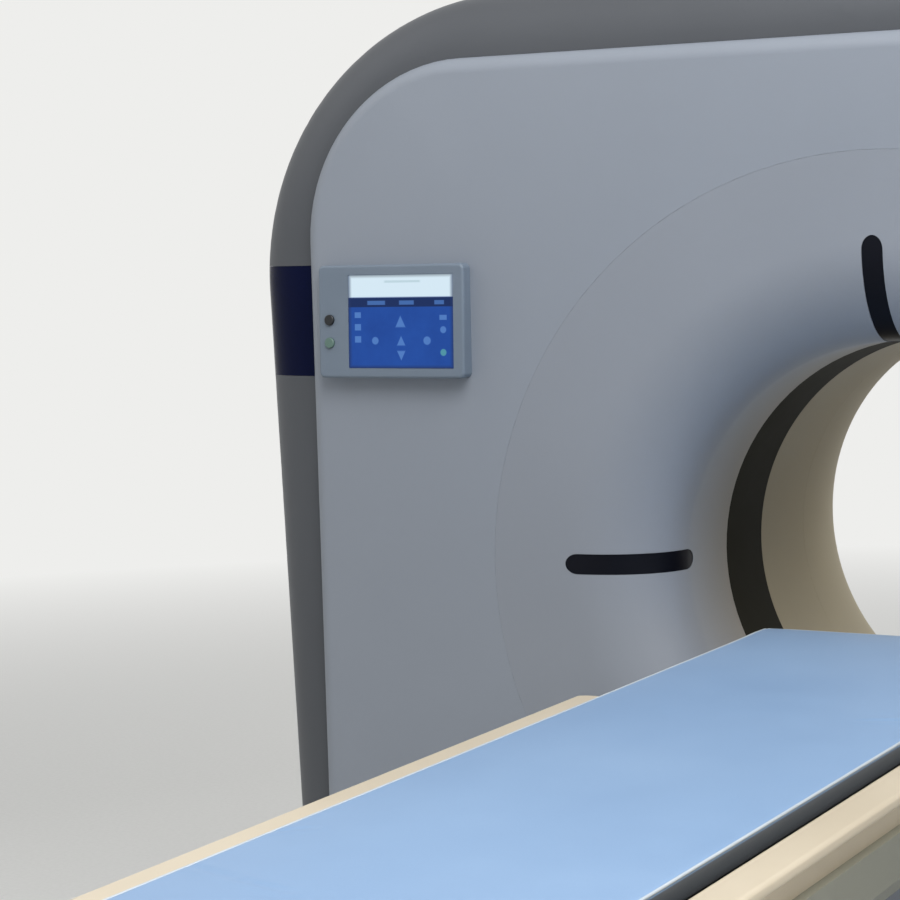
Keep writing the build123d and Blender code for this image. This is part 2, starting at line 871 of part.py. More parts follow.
def skirt(stage, low, high):
    """One stage of the telescoping cover; stage 0 is the outermost."""
    step = stage * (skirt_wall + skirt_gap)
    outer = couch_plan(pedestal_half_width - step, pedestal_half_length - step, skirt_corner - step)
    inset = step + skirt_wall
    inner = couch_plan(pedestal_half_width - inset, pedestal_half_length - inset, skirt_corner - inset)
    return Pos(0, 0, low) * extrude(outer - inner, amount=high - low)


def column(stage, low, high):
    """One stage of the lifting column; stage 0 is the outermost, fixed one."""
    step = stage * (column_wall + column_gap)
    outer = Rectangle(2 * (column_half - step), 2 * (column_half - step))
    inner = Rectangle(2 * (column_half - step - column_wall), 2 * (column_half - step - column_wall))
    return Pos(0, pedestal_y, low) * extrude(outer - inner, amount=high - low)


actuator_y = pedestal_y + 200.0


def upright_rod(radius, low, high):
    return Pos(0, actuator_y, (low + high) / 2) * Cylinder(radius, high - low)


def lift_actuator():
    body = upright_rod(actuator_radius, couch_base_plate, actuator_top)
    return body - upright_rod(lift_rod_radius + seam, couch_base_plate + 12, actuator_top + 20)


def lift_rod():
    return upright_rod(lift_rod_radius, lift_rod_low, beam_low - seam)


def couch_section(inset):
    return Polygon((-couch_bottom_half + inset, couch_bottom + inset),
                   (couch_bottom_half - inset, couch_bottom + inset),
                   (couch_half_width - inset, couch_shoulder), (couch_half_width - inset, couch_top - inset),
                   (-couch_half_width + inset, couch_top - inset), (-couch_half_width + inset, couch_shoulder),
                   align=None)


def couch_form(inset):
    """The couch body as a solid form with rounded ends."""
    body = slab(couch_section(inset), couch_back + inset, couch_front - inset)
    ends = body.faces().filter_by(Axis.Y)
    rounded = ends.edges().filter_by(lambda e: e.center().Z < couch_top - inset - 1)
    return fillet(rounded, couch_end_radius - inset)


def couch_cover():
    body = couch_form(0.0) - couch_form(cover_wall)
    notch = deck_edge_half + deck_side_gap
    body -= block((-notch, notch), (couch_back - 1, couch_front + 1), (deck_bottom - deck_side_gap, couch_top + 1))
    opening = couch_plan(column_half + 10, pedestal_half_length - 160, 20)
    return body - Pos(0, 0, couch_bottom - 1) * extrude(opening, amount=cover_wall + 2)


beam_low = 690.0
beam_high = 758.0
beam_outer = 125.0
beam_inner = 60.0
beam_front = couch_front - 30.0
beam_back = couch_back + 130.0


def couch_frame():
    frame = block((-beam_outer, beam_outer), (beam_back, beam_front), (beam_low, beam_low + 8))
    for side in (-1, 1):
        x = sorted((side * beam_inner, side * beam_outer))
        frame += block(x, (beam_back, beam_front), (beam_low, beam_high))
    for y in (beam_front - 60, pedestal_y + 600, pedestal_y - 600, beam_back + 60):
        for side in (-1, 1):
            x = sorted((side * beam_inner, side * (couch_half_width - cover_wall - seam)))
            frame += block(x, (y - 30, y + 30), (couch_shoulder, beam_high))
    return frame


rail_height = 13.0
rail_half = 10.0
rail_x = 95.0


def slide_rails():
    rails = []
    for side in (-1, 1):
        rails.append(block((side * rail_x - rail_half, side * rail_x + rail_half), (beam_back, beam_front),
                           (beam_high, beam_high + rail_height)))
    return pieces(rails)


lid_thickness = 3.0
lid_clearance = 1.3         # under the carriage plate
block_half_width = 26.0
block_half_length = 50.0
carriage_setback = 160.0    # from the foot end of the tabletop
carriage_length = 500.0
carriage_back = top_back + carriage_setback
carriage_front = carriage_back + carriage_length
carriage_top = deck_bottom - seam
carriage_plate_low = carriage_top - 8.0


def slide_blocks():
    """Four bearing blocks that grip the rails from above."""
    blocks = []
    for x in (-rail_x, rail_x):
        for y in (carriage_back + 60, carriage_front - 60):
            body = block((x - block_half_width, x + block_half_width),
                         (y - block_half_length, y + block_half_length), (beam_high + 3, carriage_plate_low))
            groove = block((x - rail_half - seam, x + rail_half + seam),
                           (y - block_half_length - 1, y + block_half_length + 1),
                           (beam_high, beam_high + rail_height + seam))
            blocks.append(body - groove)
    return pieces(blocks)


pulley_x_half = 13.0
travel_pulley_radius = 20.0
travel_pulley_z = 738.0
travel_belt_half = 11.0
travel_drive_y = couch_back + 70.0
travel_idler_y = couch_front - 60.0
travel_belt_top = travel_pulley_z + travel_pulley_radius + 0.3 + 3.0


def carriage_plate():
    plate = block((-deck_flat_half, deck_flat_half), (carriage_back, carriage_front), (carriage_plate_low, carriage_top))
    middle = (carriage_back + carriage_front) / 2
    clamp = block((-travel_belt_half, travel_belt_half), (middle - 40, middle + 40),
                  (travel_belt_top + seam, carriage_plate_low))
    return plate + clamp


def couch_lid():
    """Sheet over the couch body, slotted where the carriage passes through."""
    half = couch_half_width - cover_wall - seam
    top = carriage_plate_low - lid_clearance
    lid = block((-half, half), (couch_back + cover_wall + seam, couch_front - cover_wall - seam),
                (top - lid_thickness, top))
    corners = lid.edges().filter_by(Axis.Z)
    lid = fillet(corners, couch_end_radius - cover_wall)
    slot_back = beam_back + 30
    for x, half_slot in ((-rail_x, block_half_width + 2), (rail_x, block_half_width + 2), (0, travel_belt_half + 2)):
        lid -= block((x - half_slot, x + half_slot), (slot_back, beam_front), (top - 5, top + 1))
    return lid


def travel_belt():
    def loop(radius):
        drive = Pos(travel_drive_y, travel_pulley_z) * Circle(radius)
        idler = Pos(travel_idler_y, travel_pulley_z) * Circle(radius)
        return make_hull(drive.edges() + idler.edges())
    ring = loop(travel_pulley_radius + 3.3) - loop(travel_pulley_radius + 0.3)
    plane = Plane(origin=(-travel_belt_half, 0, 0), x_dir=(0, 1, 0), z_dir=(1, 0, 0))
    return extrude(plane * ring, amount=2 * travel_belt_half)


def travel_pulley(y, shaft_reach):
    wheel = Pos(0, y, travel_pulley_z) * Rot(0, 90, 0) * Cylinder(travel_pulley_radius, 2 * pulley_x_half)
    shaft = Pos(shaft_reach / 2, y, travel_pulley_z) * Rot(0, 90, 0) * Cylinder(6, abs(shaft_reach))
    return wheel + shaft


def travel_motor():
    body = Pos(90, travel_drive_y, travel_pulley_z) * Rot(0, 90, 0) * Cylinder(36, 140)
    body -= Pos(40, travel_drive_y, travel_pulley_z) * Rot(0, 90, 0) * Cylinder(6.05, 60)
    foot = block((30, 155), (travel_drive_y - 30, beam_back - seam), (beam_low, travel_pulley_z - 30))
    return body + foot


def idler_bracket():
    """Fork on the frame that holds the idler pulley."""
    cheeks = []
    for side in (-1, 1):
        x = sorted((side * (pulley_x_half + seam), side * (beam_inner - 0.1)))
        cheek = block(x, (travel_idler_y - 22, travel_idler_y + 22), (beam_low + 8, travel_pulley_z + 14))
        cheeks.append(cheek)
    hole = Pos(0, travel_idler_y, travel_pulley_z) * Rot(0, 90, 0) * Cylinder(6.05, 200)
    return pieces([cheek - hole for cheek in cheeks])


# Tabletop

def deck_section():
    half = deck_edge_half
    flat = deck_flat_half
    top = Line((-half, deck_top), (half, deck_top))
    right = Line((half, deck_top), (half, deck_edge_low))
    left = Line((-half, deck_edge_low), (-half, deck_top))
    curve_right = TangentArc((flat, deck_bottom), (half, deck_edge_low), tangent=(1, 0))
    curve_left = TangentArc((-flat, deck_bottom), (-half, deck_edge_low), tangent=(-1, 0))
    foot = Line((-flat, deck_bottom), (flat, deck_bottom))
    return make_face(top.edges() + right.edges() + left.edges() + curve_right.edges()
                     + curve_left.edges() + foot.edges())


def tabletop():
    return slab(deck_section(), top_back + cap_length + seam, top_tip - cap_length - seam)


def edge_rail():
    """Rounded rail on a set-back foot, along one side of the couch body's top."""
    middle = Pos((rail_inner + rail_outer) / 2, (rail_low + rail_high) / 2)
    section = middle * RectangleRounded(rail_outer - rail_inner, rail_high - rail_low, rail_edge_radius)
    foot_low = couch_top + 0.1
    foot_high = (rail_low + rail_high) / 2
    foot = Pos((rail_foot_inner + rail_foot_outer) / 2, (foot_low + foot_high) / 2)
    section += foot * Rectangle(rail_foot_outer - rail_foot_inner, foot_high - foot_low)
    plan = Pos(0, (couch_front + couch_back) / 2) * RectangleRounded(
        2 * rail_outer, couch_length, couch_end_radius)
    return slab(section, couch_back, couch_front) & extrude(plan, amount=rail_high)


def end_cap(y, direction):
    """Moulded end of the tabletop, rounded in plan."""
    outer = y
    inner = y - direction * cap_length
    cap = block((-deck_edge_half, deck_edge_half), sorted((inner, outer)), (deck_bottom + 4, cap_top))
    edges = cap.edges().filter_by(Axis.Z)
    far = edges.sort_by(Axis.Y)[-2:] if direction > 0 else edges.sort_by(Axis.Y)[:2]
    cap = fillet(far, 38)
    rims = cap.faces().sort_by(Axis.Z)
    cap = fillet(rims[-1].edges().filter_by(lambda e: abs(e.center().Y - inner) > 1), 9)
    under = Polygon((deck_flat_half, deck_bottom), (deck_edge_half + 1, deck_bottom),
                    (deck_edge_half + 1, deck_edge_low), (deck_edge_half, deck_edge_low), align=None)
    for side in (0, 1):
        cut = under if side else mirror(under, about=Plane.YZ)
        cap -= slab(cut, min(inner, outer) - 1, max(inner, outer) + 1)
    return cap


def mattress():
    half = mattress_half_width
    low = deck_top + soft_gap
    front = top_back + cap_length + seam + soft_gap
    back = top_tip - cap_length - seam - soft_gap
    pad = block((-half, half), (front, back), (low, mattress_top))
    pad = fillet(pad.edges().filter_by(Axis.Z), 12)
    return fillet(pad.faces().sort_by(Axis.Z)[-1].edges(), 9)


# Write every piece

band = band_shell()
casing = casing_shell()
save(height_slice(band, panel_high + seam / 2, band_top + 1), "band_arch")
save(height_slice(band, 0, panel_low - seam / 2), "band_sides")
save(height_slice(band, panel_low + seam / 2, panel_high - seam / 2), "accents")
save(height_slice(casing, 0, casing_split - seam / 2), "side_covers")
save(height_slice(casing, casing_split + seam / 2, band_top + 1), "top_cover")
save(front_cover(), "front_cover")
save(front_bell(), "front_bell")
save(scan_window(), "scan_window")
save(rear_lining(), "rear_lining")
save(rear_bell(), "rear_bell")
save(rear_cover(), "rear_cover")
save(light_windows(), "light_windows")
save(light_housings(), "light_housings")

housing = panel_housing()
screen = panel_screen()
buttons = [panel_button(centre) for centre in panel_button_centres()]
save(both_sides(housing), "panel_housings")
save(both_sides(screen), "panel_screens")
for button, name in zip(buttons, ("upper_button", "lower_button")):
    save(button, name + "_left")
    save(mirror(button, about=Plane.YZ), name + "_right")

save(base_frame(), "base_frame")
save(stator_frame(), "stator_frame")
save(bearing_outer_ring(), "bearing_outer_ring")
save(bearing_inner_ring(), "bearing_inner_ring")
save(bearing_rollers(), "bearing_rollers")
save(rotor_drum(), "rotor_drum")
save(slip_ring(), "slip_ring")
save(brush_block(), "brush_block")
save(xray_tube(), "xray_tube")
save(tube_saddle(), "tube_saddle")
save(collimator_housing(), "collimator_housing")
save(collimator_blade(-1), "collimator_blade_front")
save(collimator_blade(1), "collimator_blade_rear")
save(detector_housing(), "detector_housing")
save(pieces([detector_modules(), acquisition_boards()]), "detector_modules")
save(pieces([rotor_unit(unit_angle), rotor_unit(-unit_angle)]), "rotor_power_units")
save(tube_cooler(), "tube_cooler")
save(cooler_fan(), "cooler_fan")
save(counterweights(), "counterweights")
save(drive_belt(), "drive_belt")
save(motor_pulley(), "motor_pulley")
save(drive_motor() + motor_bracket(), "drive_motor")
save(fan_frames(), "fan_frames")
save(gantry_fan(-1), "gantry_fan_left")
save(gantry_fan(1), "gantry_fan_right")
save(pieces([power_cabinet(), control_cabinet()]), "supply_cabinets")

save(pieces([couch_base(), floor_duct()]), "couch_base")
save(pieces([skirt(2, couch_base_plate + seam, lower_skirt_top),
             column(0, couch_base_plate, lower_column_top), lift_actuator()]), "lower_stage")
save(pieces([skirt(1, mid_skirt_low, mid_skirt_top), column(1, mid_column_low, mid_skirt_top)]), "mid_stage")
save(pieces([skirt(0, upper_skirt_low, couch_bottom - seam),
             column(2, upper_skirt_low, beam_low - 0.1), lift_rod()]), "upper_stage")
save(pieces([couch_cover(), couch_lid()]), "couch_cover")
save(pieces([couch_frame(), idler_bracket()] + [slide_rails()]), "couch_frame")
save(travel_belt(), "travel_belt")
save(travel_motor(), "travel_motor")
save(travel_pulley(travel_drive_y, 60), "travel_drive_pulley")
save(travel_pulley(travel_idler_y, 45), "travel_idler_pulley")
save(pieces([carriage_plate(), slide_blocks()]), "carriage")
save(tabletop(), "tabletop")
save(both_sides(edge_rail()), "edge_rails")
save(pieces([end_cap(top_tip, 1), end_cap(top_back, -1)]), "end_caps")
save(mattress(), "mattress")
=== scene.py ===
import json
import math
import bmesh
import bpy
from mathutils import Matrix, Vector, noise

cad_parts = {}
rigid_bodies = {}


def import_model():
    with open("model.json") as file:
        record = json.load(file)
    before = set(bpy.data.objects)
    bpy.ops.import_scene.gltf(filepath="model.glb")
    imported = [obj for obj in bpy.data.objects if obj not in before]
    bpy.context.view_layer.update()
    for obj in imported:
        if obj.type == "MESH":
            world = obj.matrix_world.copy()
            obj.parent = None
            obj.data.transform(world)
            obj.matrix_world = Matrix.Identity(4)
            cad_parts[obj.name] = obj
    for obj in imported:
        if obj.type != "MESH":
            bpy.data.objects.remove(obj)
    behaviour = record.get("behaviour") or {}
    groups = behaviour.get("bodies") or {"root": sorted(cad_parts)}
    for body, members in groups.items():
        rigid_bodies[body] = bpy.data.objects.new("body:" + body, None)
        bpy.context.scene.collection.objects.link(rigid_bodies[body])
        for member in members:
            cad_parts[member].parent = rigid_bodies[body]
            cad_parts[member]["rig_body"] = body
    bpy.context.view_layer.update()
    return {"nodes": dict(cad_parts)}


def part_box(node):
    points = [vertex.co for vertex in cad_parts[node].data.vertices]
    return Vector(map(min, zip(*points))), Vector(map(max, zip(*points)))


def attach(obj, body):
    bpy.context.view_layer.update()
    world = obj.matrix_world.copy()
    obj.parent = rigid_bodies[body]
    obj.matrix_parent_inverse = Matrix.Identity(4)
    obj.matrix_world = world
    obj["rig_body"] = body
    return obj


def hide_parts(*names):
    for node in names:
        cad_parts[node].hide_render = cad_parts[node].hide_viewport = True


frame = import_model()
nodes = frame["nodes"]
scene = bpy.context.scene
scene.view_settings.view_transform = "Standard"

# The camera
# A hand-held view from beside the couch, a little above the mattress, looking past it at
# the left half of the gantry. Its place was fitted to the outlines in the photograph.

lens = bpy.data.cameras.new("camera")
lens.sensor_width = 36.0
lens.lens = 96.758
lens.clip_end = 100.0
camera = bpy.data.objects.new("camera", lens)
scene.collection.objects.link(camera)
camera.matrix_world = Matrix((
    (0.88090, -0.01944, 0.47291, 1.18716),
    (0.47281, 0.08204, -0.87734, -3.94932),
    (-0.02174, 0.99644, 0.08145, 1.49610),
    (0.0, 0.0, 0.0, 1.0)))
scene.camera = camera

# The room
# A pale sealed floor that fades into a plain pale surround, and soft ceiling panels over
# the couch and the gantry, as an examination room is lit.


def shader_tree(material):
    """Empties a material and gives back its tree and its shader."""
    material.use_nodes = True
    tree = material.node_tree
    tree.nodes.clear()
    output = tree.nodes.new("ShaderNodeOutputMaterial")
    shader = tree.nodes.new("ShaderNodeBsdfPrincipled")
    tree.links.new(shader.outputs["BSDF"], output.inputs["Surface"])
    return tree, shader


def add(tree, kind, **values):
    """A node with its inputs, by name, and its settings."""
    node = tree.nodes.new(kind)
    for name, value in values.items():
        if name in node.inputs:
            node.inputs[name].default_value = value
        else:
            setattr(node, name, value)
    return node


def calc(tree, operation, a, b=None, clamp=False):
    """A Math node on numbers or sockets."""
    node = tree.nodes.new("ShaderNodeMath")
    node.operation = operation
    node.use_clamp = clamp
    for socket, value in zip(node.inputs, (a, b)):
        if isinstance(value, (int, float)):
            socket.default_value = value
        elif value is not None:
            tree.links.new(value, socket)
    return node.outputs[0]


def highest(tree, values):
    """The largest of several values."""
    top = values[0]
    for value in values[1:]:
        top = calc(tree, "MAXIMUM", top, value)
    return top


def ramp(tree, value, start, end, low=0.0, high=1.0):
    """A value that goes from low at start to high at end, and stays there."""
    node = tree.nodes.new("ShaderNodeMapRange")
    tree.links.new(value, node.inputs["Value"])
    for name, number in (("From Min", start), ("From Max", end), ("To Min", low), ("To Max", high)):
        node.inputs[name].default_value = number
    return node.outputs[0]


def srgb(red, green, blue):
    """A colour written as it looks on screen, 0 to 255."""
    def linear(c):
        c /= 255.0
        return c / 12.92 if c <= 0.04045 else ((c + 0.055) / 1.055) ** 2.4
    return (linear(red), linear(green), linear(blue), 1.0)


def blend_colours(tree, factor, a, b):
    """A mix of two colours, either of which may be a socket."""
    node = tree.nodes.new("ShaderNodeMix")
    node.data_type = "RGBA"
    tree.links.new(factor, node.inputs["Factor"])
    for socket, value in ((node.inputs[6], a), (node.inputs[7], b)):
        if isinstance(value, tuple):
            socket.default_value = value
        else:
            tree.links.new(value, socket)
    return node.outputs[2]


def mix_shaders(tree, factor, a, b):
    """A mix of two shaders."""
    node = tree.nodes.new("ShaderNodeMixShader")
    for socket, value in zip(node.inputs, (factor, a, b)):
        tree.links.new(value, socket)
    return node.outputs[0]


def own_place(tree):
    """Where a point lies, in the scanner's own coordinates."""
    return tree.nodes.new("ShaderNodeTexCoord").outputs["Object"]


def clouds(tree, place, **values):
    """A noise texture read at a place."""
    texture = add(tree, "ShaderNodeTexNoise", **values)
    tree.links.new(place, texture.inputs["Vector"])
    return texture


surround = srgb(238, 238, 236)
world = bpy.data.worlds.new("surround")
scene.world = world
world.use_nodes = True
sky = world.node_tree
sky.nodes.clear()
ambient = add(sky, "ShaderNodeBackground", Color=(0.98, 0.99, 1.0, 1.0), Strength=0.24)
seen = add(sky, "ShaderNodeBackground", Color=surround, Strength=1.0)
rays = sky.nodes.new("ShaderNodeLightPath").outputs
direct = highest(sky, [rays["Is Camera Ray"], rays["Is Transmission Ray"], rays["Is Glossy Ray"]])
sky_output = sky.nodes.new("ShaderNodeOutputWorld")
sky.links.new(mix_shaders(sky, direct, ambient.outputs[0], seen.outputs[0]),
              sky_output.inputs["Surface"])

floor_radius = 26.0
floor_drop = 0.001
scanner_middle = -1.4
fade_start, fade_end = 3.2, 8.0
floor_mesh = bpy.data.meshes.new("floor")
paving_shape = bmesh.new()
bmesh.ops.create_circle(paving_shape, cap_ends=True, segments=96, radius=floor_radius)
bmesh.ops.translate(paving_shape, verts=paving_shape.verts, vec=(0.0, scanner_middle, -floor_drop))
paving_shape.to_mesh(floor_mesh)
paving_shape.free()
floor = bpy.data.objects.new("floor", floor_mesh)
scene.collection.objects.link(floor)
paving = bpy.data.materials.new("sealed_floor")
tree, shader = shader_tree(paving)
surface = shader.outputs["BSDF"].links[0].to_socket
place = own_place(tree)
speck = clouds(tree, place, Scale=90.0, Detail=2.0)
tree.links.new(blend_colours(tree, speck.outputs["Fac"], srgb(226, 226, 223), srgb(238, 238, 235)),
               shader.inputs["Base Color"])
shader.inputs["Roughness"].default_value = 0.55
away = add(tree, "ShaderNodeVectorMath", operation="LENGTH")
tree.links.new(place, away.inputs[0])
glow = add(tree, "ShaderNodeEmission", Color=surround, Strength=1.0)
rays = tree.nodes.new("ShaderNodeLightPath").outputs
direct = highest(tree, [rays["Is Camera Ray"], rays["Is Glossy Ray"]])
faded = calc(tree, "MULTIPLY", ramp(tree, away.outputs["Value"], fade_start, fade_end), direct)
tree.links.new(mix_shaders(tree, faded, shader.outputs["BSDF"], glow.outputs[0]), surface)
floor_mesh.materials.append(paving)

for name, where, size, watts, aim in (
        ("ceiling_over_couch", (1.1, -2.3, 4.1), (3.2, 2.6), 134.0, (0.2, -1.2, 1.0)),
        ("ceiling_left", (-3.0, -1.6, 3.2), (1.8, 2.4), 12.0, (-0.8, -0.3, 1.2)),
        ("ceiling_behind", (0.4, 3.0, 3.8), (3.0, 2.0), 105.0, (0.0, 0.6, 1.0)),
        ("fill_right", (3.6, -3.4, 2.6), (2.0, 2.0), 18.0, (0.0, -1.2, 0.9))):
    panel = bpy.data.lights.new(name, "AREA")
    panel.shape = "RECTANGLE"
    panel.size, panel.size_y = size
    panel.energy = watts
    lamp = bpy.data.objects.new(name, panel)
    lamp.location = where
    lamp.rotation_euler = (Vector(aim) - Vector(where)).to_track_quat("-Z", "Y").to_euler()
    lamp.visible_camera = False
    scene.collection.objects.link(lamp)

# The front face panel and the front bell
# Vacuum-formed skins of lavender-grey plastic with a fine spark texture. The bell sits in the
# panel's round opening, with a thin seam between them, and painted shade makes it darker and warmer
# towards the bore.


def shared_effect(name, inputs, outputs):
    """A node group with number inputs, which have defaults, and number outputs."""
    group = bpy.data.node_groups.new(name, "ShaderNodeTree")
    for label, value in inputs:
        socket = group.interface.new_socket(name=label, in_out="INPUT",
                                            socket_type="NodeSocketFloat")
        socket.default_value = value
    for label in outputs:
        group.interface.new_socket(name=label, in_out="OUTPUT", socket_type="NodeSocketFloat")
    given = group.nodes.new("NodeGroupInput").outputs
    result = group.nodes.new("NodeGroupOutput").inputs
    return group, given, result


def place_effect(tree, group, *values):
    """The outputs of a shared effect whose inputs are set in order."""
    effect = tree.nodes.new("ShaderNodeGroup")
    effect.node_tree = group
    for socket, value in zip(effect.inputs, values):
        socket.default_value = value
    return effect.outputs


def make_grain():
    """Fine moulded texture with slow changes of tone and gloss across a large skin."""
    rub_fineness = 7.3
    speckle_share = 0.3
    group, given, result = shared_effect(
        "moulded_grain", (("Grain Size", 700.0), ("Mottle Size", 3.0), ("Scuff", 0.2)),
        ("Tone", "Gloss", "Height"))
    place = own_place(group)
    fine = clouds(group, place, Detail=1.0, Roughness=0.6)
    slow = clouds(group, place, Detail=2.0, Roughness=0.55)
    rub = clouds(group, place, Detail=3.0, Roughness=0.7)
    group.links.new(given["Grain Size"], fine.inputs["Scale"])
    group.links.new(given["Mottle Size"], slow.inputs["Scale"])
    group.links.new(calc(group, "MULTIPLY", given["Mottle Size"], rub_fineness),
                    rub.inputs["Scale"])
    worn = calc(group, "MULTIPLY", calc(group, "SUBTRACT", rub.outputs["Fac"], 0.5), given["Scuff"])
    speckle = calc(group, "MULTIPLY", calc(group, "SUBTRACT", fine.outputs["Fac"], 0.5),
                   speckle_share)
    mottle = calc(group, "ADD", slow.outputs["Fac"], worn)
    group.links.new(calc(group, "ADD", mottle, speckle, clamp=True), result["Tone"])
    group.links.new(calc(group, "ADD", slow.outputs["Fac"], calc(group, "MULTIPLY", worn, 2.0),
                         clamp=True), result["Gloss"])
    group.links.new(fine.outputs["Fac"], result["Height"])
    return group


moulded_grain = make_grain()
grain_depth = 0.0006
weld_distance = 0.00002


def raise_surface(tree, shader, height, strength, depth):
    """Drives the shader's normal from a height."""
    relief = add(tree, "ShaderNodeBump", Strength=strength, Distance=depth)
    tree.links.new(height, relief.inputs["Height"])
    tree.links.new(relief.outputs["Normal"], shader.inputs["Normal"])


def set_gloss(tree, shader, gloss, rough):
    """Spreads the roughness over a range."""
    tree.links.new(ramp(tree, gloss, 0.0, 1.0, *rough), shader.inputs["Roughness"])


def skin(name, dark, light, rough, grain, mottle, scuff, bump, metal=0.0, shine=0.5):
    """A material on the moulded texture: two tones, a range of gloss and a fine surface."""
    material = bpy.data.materials.new(name)
    tree, shader = shader_tree(material)
    effect = place_effect(tree, moulded_grain, grain, mottle, scuff)
    tree.links.new(blend_colours(tree, effect["Tone"], dark, light), shader.inputs["Base Color"])
    set_gloss(tree, shader, effect["Gloss"], rough)
    raise_surface(tree, shader, effect["Height"], bump, grain_depth)
    shader.inputs["Metallic"].default_value = metal
    shader.inputs["Specular IOR Level"].default_value = shine
    return material


def clad(names, material):
    """Gives carried-over solids their finish."""
    for name in names:
        nodes[name].data.materials.clear()
        nodes[name].data.materials.append(material)


def smooth_copy(node, name, material, crease=28.0):
    """A welded and smooth-shaded copy of a solid, which stands for it."""
    mesh = nodes[node].data.copy()
    mesh.name = name
    shape = bmesh.new()
    shape.from_mesh(mesh)
    bmesh.ops.remove_doubles(shape, verts=shape.verts, dist=weld_distance)
    for face in shape.faces:
        face.smooth = True
    for edge in shape.edges:
        if len(edge.link_faces) == 2:
            edge.smooth = edge.calc_face_angle(0.0) < math.radians(crease)
    shape.to_mesh(mesh)
    shape.free()
    mesh.materials.clear()
    mesh.materials.append(material)
    piece = bpy.data.objects.new(name, mesh)
    scene.collection.objects.link(piece)
    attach(piece, nodes[node]["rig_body"])
    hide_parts(node)
    return piece


def axes(tree, place):
    """The X, Y and Z of a place."""
    split = tree.nodes.new("ShaderNodeSeparateXYZ")
    tree.links.new(place, split.inputs[0])
    return split.outputs


face_skin = skin("face_skin", srgb(143, 150, 161), srgb(153, 160, 171), (0.42, 0.52), grain=650.0,
                 mottle=1.6, scuff=0.12, bump=0.05)
smooth_copy("front_cover", "face_panel", face_skin)
bell_skin = skin("bell_skin", srgb(142, 148, 158), srgb(152, 158, 168), (0.46, 0.56), grain=650.0,
                 mottle=1.6, scuff=0.12, bump=0.05)
# Painted shade: over its inner part the bell's colour is blended to a darker, warmer grey, as shade
# falls inside the bore.
bore_shade_start, bore_shade_share = 0.25, 0.9
tree = bell_skin.node_tree
shader = next(node for node in tree.nodes if node.type == "BSDF_PRINCIPLED")
mouth_tone = shader.inputs["Base Color"].links[0].from_socket
bell_front, bell_back = (corner[1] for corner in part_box("front_bell"))
bore_shade_front = bell_front + bore_shade_start * (bell_back - bell_front)
painted_bore_shade = ramp(tree, axes(tree, own_place(tree))["Y"], bore_shade_front, bell_back, 0.0, bore_shade_share)
tree.links.new(blend_colours(tree, painted_bore_shade, mouth_tone, srgb(143, 137, 126)),
               shader.inputs["Base Color"])
smooth_copy("front_bell", "bell_moulding", bell_skin)

# The band round the face
# Sprayed covers in metallic grey that roll back from the face, in an arch and two side
# pieces, with a fine flake in the paint.

band_paint = skin("band_paint", srgb(82, 85, 90), srgb(93, 96, 101), (0.42, 0.52), grain=1400.0,
                  mottle=2.2, scuff=0.1, bump=0.03, metal=0.2, shine=0.35)
smooth_copy("band_arch", "rolled_arch", band_paint)
smooth_copy("band_sides", "rolled_sides", band_paint)

# The navy inserts
# Gloss panels between the band's pieces, level with the touch panels.

insert_gloss = skin("insert_gloss", srgb(7, 14, 44), srgb(11, 19, 56), (0.16, 0.26), grain=1600.0,
                    mottle=4.0, scuff=0.15, bump=0.01, shine=0.05)
smooth_copy("accents", "navy_inserts", insert_gloss)

# The side, top and rear covers
# Large moulded skins in the face's grey, screwed to the frame from the rear.

casing_skin = skin("casing_skin", srgb(150, 154, 163), srgb(163, 167, 175), (0.45, 0.56),
                   grain=600.0, mottle=1.3, scuff=0.18, bump=0.06)
for node in ("side_covers", "top_cover", "rear_cover"):
    smooth_copy(node, node + "_skin", casing_skin)

# The scan window
# A ring of smoke-dark film between the two mouths of the bore, which the beam passes through.

window_film = skin("window_film", srgb(23, 22, 12), srgb(33, 31, 19), (0.58, 0.7), grain=1800.0,
                   mottle=5.0, scuff=0.3, bump=0.015, shine=0.05)
smooth_copy("scan_window", "window_ring", window_film)

# The rear lining and the rear bell
# Plain warm-grey mouldings behind the scan window, which widen towards the rear.

lining_skin = skin("lining_skin", srgb(152, 141, 113), srgb(166, 155, 128), (0.48, 0.58),
                   grain=700.0, mottle=2.4, scuff=0.25, bump=0.05, shine=0.35)
smooth_copy("rear_lining", "lining_ring", lining_skin)
smooth_copy("rear_bell", "rear_mouth", lining_skin)

# The positioning lights
# Three smoked windows with round ends, set into the bell over their light boxes. The boxes,
# the fans and the other black mouldings inside share one plastic.

smoked = skin("smoked_window", srgb(8, 10, 18), srgb(13, 15, 25), (0.34, 0.46), grain=1500.0,
              mottle=9.0, scuff=0.2, bump=0.01, shine=0.12)
smooth_copy("light_windows", "smoked_windows", smoked)
black_plastic = skin("black_plastic", srgb(30, 31, 34), srgb(42, 43, 47), (0.5, 0.66),
                     grain=900.0, mottle=6.0, scuff=0.3, bump=0.12, shine=0.35)
clad(("light_housings", "brush_block", "fan_frames", "gantry_fan_left", "gantry_fan_right",
      "cooler_fan", "detector_modules"), black_plastic)

# The touch panels
# A moulded box that stands off the face at each side, with a lit glass screen and two push
# buttons on its outer side. The screen shows plain bars, arrows and dots.

panel_skin = skin("panel_skin", srgb(112, 125, 140), srgb(124, 137, 152), (0.4, 0.52),
                  grain=900.0, mottle=5.0, scuff=0.2, bump=0.05)
smooth_copy("panel_housings", "panel_boxes", panel_skin)

picture_aspect = 1.28
oblong_edge = (1.06, 0.94)
dot_edge = (1.12, 0.88)
arrow_edge = (1.1, 0.85)
mark_strength = 0.62
screen_width = 0.202


def oblong(tree, u, v, centre, half):
    """A soft-edged rectangle of the picture."""
    across, along = (
        calc(tree, "DIVIDE", calc(tree, "ABSOLUTE", calc(tree, "SUBTRACT", at, middle)), reach)
        for at, middle, reach in zip((u, v), centre, half))
    return ramp(tree, calc(tree, "MAXIMUM", across, along), *oblong_edge)


